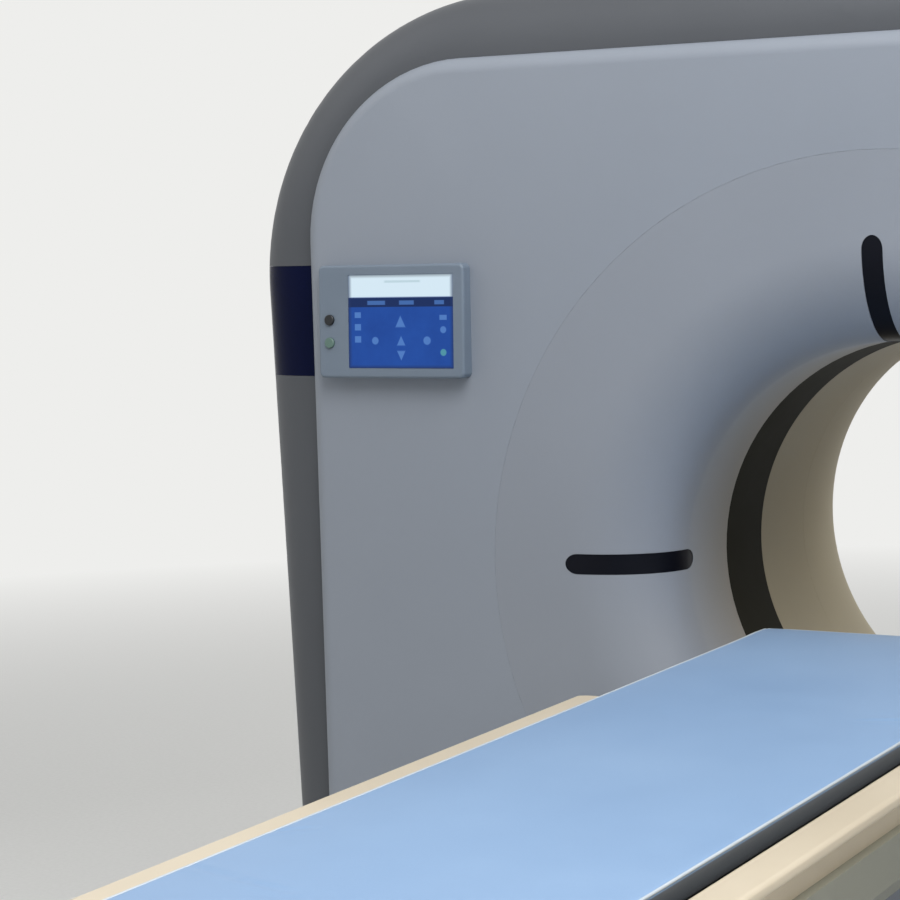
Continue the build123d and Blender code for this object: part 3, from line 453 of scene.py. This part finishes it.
def dot(tree, u, v, centre, radius):
    """A soft-edged dot, round on the glass."""
    across = calc(tree, "MULTIPLY", calc(tree, "SUBTRACT", u, centre[0]), picture_aspect)
    along = calc(tree, "SUBTRACT", v, centre[1])
    reach = calc(tree, "SQRT", calc(tree, "ADD", calc(tree, "MULTIPLY", across, across),
                                    calc(tree, "MULTIPLY", along, along)))
    return ramp(tree, calc(tree, "DIVIDE", reach, radius), *dot_edge)


def arrow(tree, u, v, centre, size, way):
    """A triangle that points up (1) or down (-1)."""
    across = calc(tree, "MULTIPLY", calc(tree, "ABSOLUTE", calc(tree, "SUBTRACT", u, centre[0])),
                  2.0 * picture_aspect / size)
    along = calc(tree, "MULTIPLY", calc(tree, "SUBTRACT", v, centre[1]), way / size)
    edge = calc(tree, "MAXIMUM", calc(tree, "ADD", across, along),
                calc(tree, "MULTIPLY", along, -1.0))
    return ramp(tree, edge, *arrow_edge)


screen_lit = bpy.data.materials.new("screen_lit")
tree, shader = shader_tree(screen_lit)
glass = axes(tree, add(tree, "ShaderNodeUVMap", uv_map="picture").outputs["UV"])
u, v = glass["X"], glass["Y"]
shade = place_effect(tree, moulded_grain, 60.0, 14.0, 0.2)
picture = blend_colours(tree, shade["Tone"], srgb(16, 62, 144), srgb(28, 82, 172))
marks = highest(tree, (
    arrow(tree, u, v, (0.50, 0.50), 0.062, 1), dot(tree, u, v, (0.257, 0.295), 0.040),
    arrow(tree, u, v, (0.505, 0.295), 0.052, 1), dot(tree, u, v, (0.752, 0.295), 0.044),
    arrow(tree, u, v, (0.505, 0.135), 0.052, -1), oblong(tree, u, v, (0.09, 0.57), (0.030, 0.030)),
    oblong(tree, u, v, (0.09, 0.44), (0.030, 0.034)),
    oblong(tree, u, v, (0.09, 0.31), (0.030, 0.034)),
    oblong(tree, u, v, (0.905, 0.54), (0.034, 0.026)), dot(tree, u, v, (0.905, 0.41), 0.036)))
picture = blend_colours(tree, calc(tree, "MULTIPLY", marks, mark_strength), picture,
                        srgb(96, 146, 216))
for mark, colour in (
        (dot(tree, u, v, (0.905, 0.17), 0.036), srgb(78, 150, 168)),
        (oblong(tree, u, v, (0.5, 0.705), (0.5, 0.050)), srgb(12, 40, 92)),
        (oblong(tree, u, v, (0.27, 0.70), (0.085, 0.022)), srgb(64, 106, 172)),
        (oblong(tree, u, v, (0.56, 0.70), (0.07, 0.022)), srgb(64, 106, 172)),
        (oblong(tree, u, v, (0.87, 0.70), (0.045, 0.022)), srgb(64, 106, 172)),
        (oblong(tree, u, v, (0.5, 0.88), (0.5, 0.12)), srgb(220, 240, 252)),
        (oblong(tree, u, v, (0.52, 0.925), (0.17, 0.012)), srgb(196, 220, 230))):
    picture = blend_colours(tree, mark, picture, colour)
border = oblong(tree, u, v, (0.5, 0.5), (0.494, 0.49))
picture = blend_colours(tree, border, srgb(30, 36, 48), picture)
tree.links.new(picture, shader.inputs["Emission Color"])
shader.inputs["Emission Strength"].default_value = 0.92
tree.links.new(blend_colours(tree, shade["Gloss"], srgb(12, 14, 20), srgb(18, 21, 28)),
               shader.inputs["Base Color"])
set_gloss(tree, shader, shade["Gloss"], (0.12, 0.2))
shader.inputs["Specular IOR Level"].default_value = 0.15
screens = smooth_copy("panel_screens", "lit_screens", screen_lit)
screen_low, screen_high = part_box("panel_screens")
picture_map = screens.data.uv_layers.new(name="picture")
for loop in screens.data.loops:
    point = screens.data.vertices[loop.vertex_index].co
    start = screen_low[0] if point.x < 0.0 else screen_high[0] - screen_width
    picture_map.data[loop.index].uv = (
        (point.x - start) / screen_width,
        (point.z - screen_low[2]) / (screen_high[2] - screen_low[2]))

dark_button = skin("dark_button", srgb(14, 18, 22), srgb(24, 27, 32), (0.3, 0.42), grain=2500.0,
                   mottle=30.0, scuff=0.3, bump=0.04)
pale_button = skin("pale_button", srgb(88, 116, 108), srgb(104, 132, 122), (0.3, 0.42),
                   grain=2500.0, mottle=30.0, scuff=0.3, bump=0.04)
for side in ("left", "right"):
    smooth_copy("upper_button_" + side, "dark_cap_" + side, dark_button, crease=40.0)
    smooth_copy("lower_button_" + side, "pale_cap_" + side, pale_button, crease=40.0)

# The base, the stationary frame and the motors
# Welded steel in grey powder coat, with the heavier texture of thick powder.

powder = skin("powder_coat", srgb(84, 88, 94), srgb(98, 102, 108), (0.5, 0.64), grain=1100.0,
              mottle=4.0, scuff=0.35, bump=0.2)
clad(("base_frame", "stator_frame", "drive_motor", "collimator_housing", "couch_frame",
      "travel_motor", "couch_base"), powder)

# The bearing, the drum and the machined parts of the rotor
# Turned about the bore's axis, so the tool leaves fine rings in ground steel and alloy.


def make_turning():
    """Fine rings about the rotation axis, as a lathe leaves them."""
    ring_share = 0.6
    group, given, result = shared_effect(
        "turned_rings", (("Ring Density", 900.0), ("Axis Height", 0.98)), ("Tone", "Height"))
    place = own_place(group)
    spot = axes(group, place)
    up = calc(group, "SUBTRACT", spot["Z"], given["Axis Height"])
    reach = calc(group, "SQRT", calc(group, "ADD", calc(group, "MULTIPLY", up, up),
                                     calc(group, "MULTIPLY", spot["X"], spot["X"])))
    rings = add(group, "ShaderNodeTexNoise", noise_dimensions="1D", Detail=2.0, Roughness=0.7)
    group.links.new(calc(group, "ADD", reach, spot["Y"]), rings.inputs["W"])
    group.links.new(given["Ring Density"], rings.inputs["Scale"])
    stain = clouds(group, place, Scale=6.0, Detail=2.0)
    tone = calc(group, "ADD", calc(group, "MULTIPLY", rings.outputs["Fac"], ring_share),
                calc(group, "MULTIPLY", stain.outputs["Fac"], 1.0 - ring_share), clamp=True)
    group.links.new(tone, result["Tone"])
    group.links.new(rings.outputs["Fac"], result["Height"])
    return group


turned_rings = make_turning()


def turned(name, dark, light, rough, density, metal):
    """Metal turned about the bore's axis."""
    material = bpy.data.materials.new(name)
    tree, shader = shader_tree(material)
    effect = place_effect(tree, turned_rings, density)
    tree.links.new(blend_colours(tree, effect["Tone"], dark, light), shader.inputs["Base Color"])
    tree.links.new(ramp(tree, effect["Tone"], 0.2, 0.8, *rough), shader.inputs["Roughness"])
    raise_surface(tree, shader, effect["Height"], strength=0.15, depth=0.0003)
    shader.inputs["Metallic"].default_value = metal
    return material


clad(("bearing_outer_ring", "bearing_inner_ring"),
     turned("ground_rings", srgb(146, 148, 152), srgb(186, 188, 192), (0.2, 0.34), 1200.0, 1.0))
clad(("rotor_drum",),
     turned("turned_alloy", srgb(150, 152, 156), srgb(182, 184, 188), (0.32, 0.48), 500.0, 0.9))
clad(("slip_ring",),
     turned("slip_tracks", srgb(160, 124, 58), srgb(200, 166, 96), (0.2, 0.34), 700.0, 1.0))
ground_steel = skin("ground_steel", srgb(150, 152, 156), srgb(186, 188, 192), (0.22, 0.36),
                    grain=1600.0, mottle=9.0, scuff=0.5, bump=0.05, metal=1.0)
clad(("bearing_rollers", "motor_pulley", "travel_drive_pulley", "travel_idler_pulley"),
     ground_steel)
machined = skin("machined_alloy", srgb(148, 150, 154), srgb(176, 178, 182), (0.34, 0.5),
                grain=900.0, mottle=7.0, scuff=0.5, bump=0.1, metal=0.9)
clad(("tube_saddle", "detector_housing", "carriage"), machined)

# The tube, the collimator blades, the boxes, the weights and the belts
# An enamelled tube housing, lead blades, sheet-metal boxes and painted cast weights on the
# rotor, and the black rubber of both belts.

clad(("xray_tube",),
     skin("tube_enamel", srgb(196, 198, 200), srgb(212, 214, 216), (0.24, 0.36), grain=900.0,
          mottle=5.0, scuff=0.2, bump=0.04))
clad(("collimator_blade_front", "collimator_blade_rear"),
     skin("lead_blades", srgb(74, 76, 82), srgb(96, 98, 104), (0.45, 0.6), grain=700.0,
          mottle=20.0, scuff=0.5, bump=0.15, metal=0.7))
clad(("rotor_power_units", "tube_cooler", "supply_cabinets"),
     skin("box_paint", srgb(150, 153, 158), srgb(168, 170, 174), (0.42, 0.55), grain=1000.0,
          mottle=5.0, scuff=0.3, bump=0.12))
clad(("counterweights",),
     skin("weight_paint", srgb(58, 60, 66), srgb(76, 78, 84), (0.5, 0.66), grain=800.0,
          mottle=9.0, scuff=0.5, bump=0.25))
clad(("drive_belt", "travel_belt"),
     skin("belt_rubber", srgb(22, 22, 24), srgb(34, 34, 36), (0.6, 0.75), grain=1500.0,
          mottle=12.0, scuff=0.4, bump=0.2, shine=0.3))

# The couch's telescoping skirts
# Three powder-coated skirts that slide over each other round the lifting column, with faint
# upright rubbing marks, which are a little smoother than the paint.

skirt_paint = bpy.data.materials.new("skirt_paint")
tree, shader = shader_tree(skirt_paint)
effect = place_effect(tree, moulded_grain, 1000.0, 3.0, 0.2)
stretch = add(tree, "ShaderNodeMapping", Scale=(60.0, 60.0, 1.2))
tree.links.new(own_place(tree), stretch.inputs["Vector"])
rubbing = clouds(tree, stretch.outputs[0], Scale=1.0, Detail=3.0)
streak = ramp(tree, rubbing.outputs["Fac"], 0.56, 0.78, 0.0, 0.35)
base = blend_colours(tree, effect["Tone"], srgb(156, 157, 150), srgb(172, 173, 166))
tree.links.new(blend_colours(tree, streak, base, srgb(138, 139, 134)), shader.inputs["Base Color"])
tree.links.new(calc(tree, "SUBTRACT", ramp(tree, effect["Gloss"], 0.0, 1.0, 0.46, 0.58),
                    calc(tree, "MULTIPLY", streak, 0.4)), shader.inputs["Roughness"])
raise_surface(tree, shader, effect["Height"], strength=0.12, depth=grain_depth)
clad(("lower_stage", "mid_stage", "upper_stage"), skirt_paint)

# The couch body and its side rails
# A shallow moulded trough, with cream rails on set-back feet along both edges.

couch_skin = skin("couch_skin", srgb(134, 134, 121), srgb(148, 148, 135), (0.42, 0.54),
                  grain=700.0, mottle=3.0, scuff=0.2, bump=0.06)
smooth_copy("couch_cover", "couch_shell", couch_skin)
rail_cream = skin("rail_cream", srgb(212, 198, 173), srgb(224, 211, 187), (0.34, 0.46),
                  grain=900.0, mottle=4.0, scuff=0.25, bump=0.05)
smooth_copy("edge_rails", "cream_rails", rail_cream)

# The tabletop
# A long cradle laid up in twill carbon cloth under clear resin, with cream moulded end caps.

tow_width = 0.004
twill_repeat = 4.0
carbon = bpy.data.materials.new("carbon_cloth")
tree, shader = shader_tree(carbon)
spot = axes(tree, own_place(tree))
across = calc(tree, "DIVIDE", spot["X"], tow_width)
along = calc(tree, "DIVIDE", spot["Y"], tow_width)
step = calc(tree, "ADD", calc(tree, "FLOOR", across), calc(tree, "FLOOR", along))
twill = calc(tree, "LESS_THAN", calc(tree, "FLOORED_MODULO", step, twill_repeat), 1.5)
crown_x, crown_y = (
    calc(tree, "SINE", calc(tree, "MULTIPLY", calc(tree, "FRACT", count), math.pi))
    for count in (across, along))
crown = calc(tree, "ADD", calc(tree, "MULTIPLY", crown_x, twill),
             calc(tree, "MULTIPLY", crown_y, calc(tree, "SUBTRACT", 1.0, twill)))
effect = place_effect(tree, moulded_grain, 600.0, 5.0, 0.2)
lay = calc(tree, "ADD", calc(tree, "MULTIPLY", twill, 0.5), calc(tree, "MULTIPLY", crown, 0.4))
tree.links.new(blend_colours(tree, lay, srgb(26, 27, 29), srgb(58, 60, 63)),
               shader.inputs["Base Color"])
set_gloss(tree, shader, effect["Gloss"], (0.26, 0.36))
raise_surface(tree, shader, crown, strength=0.25, depth=0.0004)
shader.inputs["Coat Weight"].default_value = 0.5
shader.inputs["Coat Roughness"].default_value = 0.1
smooth_copy("tabletop", "carbon_cradle", carbon)
smooth_copy("end_caps", "cradle_caps", rail_cream)

# The mattress
# A thin foam pad in blue coated cloth, with painted shade darkening its sides. It lies flat on the
# cradle, is crowned a little by the foam, and has a paler welded hem round its top edge.

pad_low, pad_high = (Vector(corner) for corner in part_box("mattress"))
pad_middle = (pad_low + pad_high) / 2.0
pad_half = (pad_high - pad_low) / 2.0
pad_corner = 0.022
pad_swell = 0.005
pad_inset = 0.003
pad_steps = (42, 208, 3)
fill_frames = 20


def pad_shell():
    """A closed slab of even quads with round corners in plan."""
    half = Vector((pad_half.x - pad_inset, pad_half.y - pad_inset, pad_half.z - pad_swell / 2.0))
    shape = bmesh.new()
    made = {}

    def vert(i, j, k):
        if (i, j, k) not in made:
            x, y, z = (reach * (2.0 * step / steps - 1.0)
                       for reach, step, steps in zip(half, (i, j, k), pad_steps))
            dx = abs(x) - (half.x - pad_corner)
            dy = abs(y) - (half.y - pad_corner)
            if dx > 0.0 and dy > 0.0:
                share = max(dx, dy) / math.hypot(dx, dy)
                x = math.copysign(half.x - pad_corner + dx * share, x)
                y = math.copysign(half.y - pad_corner + dy * share, y)
            made[(i, j, k)] = shape.verts.new((x, y, z))
        return made[(i, j, k)]

    def quad(*corners):
        shape.faces.new([vert(*corner) for corner in corners])

    last_i, last_j, last_k = pad_steps
    for i in range(last_i):
        for j in range(last_j):
            quad((i, j, 0), (i, j + 1, 0), (i + 1, j + 1, 0), (i + 1, j, 0))
            quad((i, j, last_k), (i + 1, j, last_k), (i + 1, j + 1, last_k), (i, j + 1, last_k))
    for k in range(last_k):
        for i in range(last_i):
            quad((i, 0, k), (i + 1, 0, k), (i + 1, 0, k + 1), (i, 0, k + 1))
            quad((i + 1, last_j, k), (i, last_j, k), (i, last_j, k + 1), (i + 1, last_j, k + 1))
        for j in range(last_j):
            quad((0, j + 1, k), (0, j, k), (0, j, k + 1), (0, j + 1, k + 1))
            quad((last_i, j, k), (last_i, j + 1, k), (last_i, j + 1, k + 1), (last_i, j, k + 1))
    bmesh.ops.recalc_face_normals(shape, faces=shape.faces)
    mesh = bpy.data.meshes.new("mattress_pad")
    shape.to_mesh(mesh)
    shape.free()
    return mesh


def solid_mesh(piece):
    """The piece's mesh with its modifiers applied."""
    graph = bpy.context.evaluated_depsgraph_get()
    return bpy.data.meshes.new_from_object(piece.evaluated_get(graph))


def limited(share):
    """A share held between 0 and 1."""
    return max(0.0, min(1.0, share))


pad = bpy.data.objects.new("mattress_pad", pad_shell())
scene.collection.objects.link(pad)
unfilled = [vertex.co.copy() for vertex in pad.data.vertices]
fill = pad.modifiers.new("fill", "CLOTH")
fill.settings.quality = 4
fill.settings.mass = 0.3
fill.settings.tension_stiffness = 12.0
fill.settings.compression_stiffness = 12.0
fill.settings.shear_stiffness = 5.0
fill.settings.bending_stiffness = 1.5
fill.settings.use_pressure = True
fill.settings.uniform_pressure_force = 4.0
fill.settings.effector_weights.gravity = 0.0
fill.collision_settings.use_collision = False
fill.point_cache.frame_start = 1
fill.point_cache.frame_end = fill_frames
for tick in range(1, fill_frames + 1):
    scene.frame_set(tick)
filled = solid_mesh(pad)
pad.modifiers.clear()
for vertex, start, end in zip(pad.data.vertices, unfilled, filled.vertices):
    push = end.co - start
    if push.length > pad_swell:
        push *= pad_swell / push.length
    vertex.co = start + push
bpy.data.meshes.remove(filled)
scene.frame_set(1)
smooth = pad.modifiers.new("smooth", "SUBSURF")
smooth.levels = 1
smooth.render_levels = 1
fine_mesh = solid_mesh(pad)
pad.modifiers.clear()
pad.data = fine_mesh

waves = ((5.0, 2.2, 1.7, 0.0010), (14.0, 9.0, 5.1, 0.0004))
creases = (((-0.250, -1.888), (-0.146, -1.938)), ((-0.146, -1.938), (-0.077, -1.958)),
           ((-0.253, -1.743), (-0.205, -1.707)), ((0.246, -0.86), (0.16, -0.92)),
           ((0.05, -2.52), (0.19, -2.46)))
ridge_height, ridge_offset, ridge_width = 0.0010, 0.012, 0.008
groove_depth, groove_width = 0.0016, 0.006
hem_margin, hem_fade = 0.006, 0.02
flat_margin = 0.02
cradle_gap = 0.0002
bottom = pad_low.z + cradle_gap - pad_middle.z
for vertex in fine_mesh.vertices:
    point = vertex.co.copy()
    above = Vector((point.x + pad_middle.x, point.y + pad_middle.y))
    if point.z > 0.0:
        inside = min(pad_half.x - abs(point.x), pad_half.y - abs(point.y))
        wave = 0.0
        for across, along, seed, height in waves:
            wave += noise.noise(Vector((point.x * across, point.y * along, seed))) * height
        for start, end in creases:
            a, b = Vector(start), Vector(end)
            share = limited((above - a).dot(b - a) / (b - a).length_squared)
            gap = (above - (a + (b - a) * share)).length
            taper = math.sin(math.pi * (0.15 + 0.7 * share))
            wave += taper * (ridge_height * math.exp(-((gap - ridge_offset) / ridge_width) ** 2)
                             - groove_depth * math.exp(-(gap / groove_width) ** 2))
        point.z += wave * limited((inside - hem_margin) / hem_fade)
    else:
        point.z = max(point.z, bottom)
        if abs(point.x) < pad_half.x - flat_margin and abs(point.y) < pad_half.y - flat_margin:
            point.z = bottom
    vertex.co = point + pad_middle
for polygon in fine_mesh.polygons:
    polygon.use_smooth = True

thread_pitch = 0.0016
side_shade_end, side_shade_stop = pad_high.z - 0.0085, pad_high.z - 0.0065
pad_cloth = bpy.data.materials.new("pad_cloth")
tree, shader = shader_tree(pad_cloth)
spot = axes(tree, own_place(tree))
warp, weft = (calc(tree, "SINE", calc(tree, "MULTIPLY", spot[axis], 2.0 * math.pi / thread_pitch))
              for axis in "XY")
weave = calc(tree, "MULTIPLY", warp, weft)
effect = place_effect(tree, moulded_grain, 500.0, 2.6, 0.35)
dye = calc(tree, "ADD", effect["Tone"], calc(tree, "MULTIPLY", weave, 0.06), clamp=True)
blue = blend_colours(tree, dye, srgb(126, 161, 202), srgb(148, 180, 216))
# Painted shade: the blue cloth is darkened to a dark grey-blue up the pad's sides, fading out just
# below the top.
upper = ramp(tree, spot["Z"], side_shade_end, side_shade_stop)
tree.links.new(blend_colours(tree, upper, srgb(58, 66, 74), blue), shader.inputs["Base Color"])
set_gloss(tree, shader, effect["Gloss"], (0.46, 0.6))
relief = calc(tree, "ADD", calc(tree, "MULTIPLY", weave, 0.5), effect["Height"])
raise_surface(tree, shader, relief, strength=0.18, depth=0.0003)
shader.inputs["Sheen Weight"].default_value = 0.12
shader.inputs["Sheen Roughness"].default_value = 0.5
fine_mesh.materials.append(pad_cloth)
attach(pad, nodes["mattress"]["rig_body"])
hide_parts("mattress")


def geometry_input(tree, name, kind):
    """An input of a modifier's tree."""
    return tree.interface.new_socket(name=name, in_out="INPUT", socket_type="NodeSocket" + kind)


def finish_tree(tree, last, material):
    """Ends a tree in plain geometry with its material."""
    tree.interface.new_socket(name="Made", in_out="OUTPUT", socket_type="NodeSocketGeometry")
    real = tree.nodes.new("GeometryNodeRealizeInstances")
    paint = tree.nodes.new("GeometryNodeSetMaterial")
    paint.inputs["Material"].default_value = material
    result = tree.nodes.new("NodeGroupOutput")
    tree.links.new(last, real.inputs[0])
    tree.links.new(real.outputs[0], paint.inputs["Geometry"])
    tree.links.new(paint.outputs[0], result.inputs[0])


def grow(name, mesh, tree, values, body):
    """Runs a tree on a mesh of points or lines and keeps the plain mesh."""
    piece = bpy.data.objects.new(name, mesh)
    scene.collection.objects.link(piece)
    maker = piece.modifiers.new("maker", "NODES")
    maker.node_group = tree
    for item in tree.interface.items_tree:
        if item.item_type == "SOCKET" and item.in_out == "INPUT" and item.name in values:
            maker[item.identifier] = values[item.name]
    plain = solid_mesh(piece)
    piece.modifiers.clear()
    piece.data = plain
    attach(piece, body)
    return piece


def hem_tree(material):
    """A round welded bead along a closed line."""
    tree = bpy.data.node_groups.new("welded_hem", "GeometryNodeTree")
    geometry_input(tree, "Line", "Geometry")
    geometry_input(tree, "Bead Radius", "Float")
    given = tree.nodes.new("NodeGroupInput")
    line = tree.nodes.new("GeometryNodeMeshToCurve")
    ring = add(tree, "GeometryNodeCurvePrimitiveCircle", Resolution=10)
    sweep = tree.nodes.new("GeometryNodeCurveToMesh")
    tree.links.new(given.outputs[0], line.inputs[0])
    tree.links.new(given.outputs[1], ring.inputs["Radius"])
    tree.links.new(line.outputs[0], sweep.inputs["Curve"])
    tree.links.new(ring.outputs["Curve"], sweep.inputs["Profile Curve"])
    finish_tree(tree, sweep.outputs[0], material)
    return tree


corner_points = 7
hem_spacing = 0.04
outline = []
for turn, (sx, sy) in enumerate(((1, 1), (-1, 1), (-1, -1), (1, -1))):
    for bit in range(corner_points):
        angle = math.radians(90.0 * turn + 90.0 * bit / (corner_points - 1))
        outline.append(Vector((
            pad_middle.x + sx * (pad_half.x - pad_corner) + pad_corner * math.cos(angle),
            pad_middle.y + sy * (pad_half.y - pad_corner) + pad_corner * math.sin(angle),
            pad_high.z)))
bpy.context.view_layer.update()
hem_points = []
for here, after in zip(outline, outline[1:] + outline[:1]):
    stretches = max(1, round((after - here).length / hem_spacing))
    for stretch in range(stretches):
        hem_points.append(pad.closest_point_on_mesh(here.lerp(after, stretch / stretches))[1])
count = len(hem_points)
hem_line = bpy.data.meshes.new("pad_hem")
hem_line.from_pydata(hem_points, [(i, (i + 1) % count) for i in range(count)], [])
hem_cloth = skin("hem_cloth", srgb(196, 206, 214), srgb(210, 218, 224), (0.4, 0.5), grain=1600.0,
                 mottle=20.0, scuff=0.2, bump=0.08)
hem = grow("pad_hem", hem_line, hem_tree(hem_cloth), {"Bead Radius": 0.0020},
           nodes["mattress"]["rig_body"])
for polygon in hem.data.polygons:
    polygon.use_smooth = True

# The screws and anchor bolts
# Zinc-plated hex bolts with washers hold the couch and the gantry to the floor, and low
# button screws hold the rear cover.


def head_tree(name, sides, material, tilt):
    """A bolt head on a washer at each point; tilt turns it off the vertical."""
    tree = bpy.data.node_groups.new(name, "GeometryNodeTree")
    geometry_input(tree, "Points", "Geometry")
    head = add(tree, "GeometryNodeMeshCone", Vertices=sides)
    washer = add(tree, "GeometryNodeMeshCylinder", Vertices=24)
    sizes = (("Head Radius", head.inputs["Radius Bottom"]),
             ("Top Radius", head.inputs["Radius Top"]),
             ("Head Height", head.inputs["Depth"]),
             ("Washer Radius", washer.inputs["Radius"]),
             ("Washer Height", washer.inputs["Depth"]))
    for label, _ in sizes:
        geometry_input(tree, label, "Float")
    given = tree.nodes.new("NodeGroupInput")
    for label, socket in sizes:
        tree.links.new(given.outputs[label], socket)
    both = tree.nodes.new("GeometryNodeJoinGeometry")
    tree.links.new(head.outputs["Mesh"], both.inputs[0])
    tree.links.new(washer.outputs["Mesh"], both.inputs[0])
    lean = tree.nodes.new("GeometryNodeTransform")
    lean.inputs["Rotation"].default_value = (tilt, 0.0, 0.0)
    tree.links.new(both.outputs[0], lean.inputs["Geometry"])
    spread = tree.nodes.new("GeometryNodeInstanceOnPoints")
    tree.links.new(given.outputs["Points"], spread.inputs["Points"])
    tree.links.new(lean.outputs[0], spread.inputs["Instance"])
    finish_tree(tree, spread.outputs[0], material)
    return tree


def fasten(name, places, tree, sizes, node):
    """Screws or bolts at the given places, carried by a node's body."""
    points = bpy.data.meshes.new(name)
    points.from_pydata(places, [], [])
    grow(name, points, tree, sizes, nodes[node]["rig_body"])


plated = skin("plated_steel", srgb(150, 152, 154), srgb(184, 186, 186), (0.28, 0.42),
              grain=2000.0, mottle=40.0, scuff=0.5, bump=0.08, metal=1.0)
hex_heads = head_tree("hex_heads", 6, plated, 0.0)
button_heads = head_tree("button_heads", 20, plated, -math.pi / 2.0)
bolt = {"Head Radius": 0.0104, "Top Radius": 0.0100, "Head Height": 0.0085,
        "Washer Radius": 0.0130, "Washer Height": 0.0016}
screw = {"Head Radius": 0.0070, "Top Radius": 0.0042, "Head Height": 0.0026,
         "Washer Radius": 0.0085, "Washer Height": 0.0010}
couch_plate_middle, couch_bolt_height = -1.95, 0.0188
couch_places = [(x, couch_plate_middle + y, couch_bolt_height)
                for x in (-0.22, 0.22) for y in (-0.5, 0.5)]
fasten("couch_anchor_bolts", couch_places, hex_heads, bolt, "couch_base")
gantry_bolt_height = 0.0208
gantry_places = [(x, y, gantry_bolt_height) for x in (-0.75, 0.75) for y in (-0.25, 0.25)]
fasten("gantry_anchor_bolts", gantry_places, hex_heads, bolt, "base_frame")
rear_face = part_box("rear_cover")[1][1]
rear_places = [(side * x, rear_face, z) for side in (-1, 1)
               for x, z in ((0.93, 0.16), (0.95, 0.60), (0.97, 1.02), (0.96, 1.42), (0.62, 1.78),
                            (0.16, 1.80))]
fasten("rear_cover_screws", rear_places, button_heads, screw, "rear_cover")
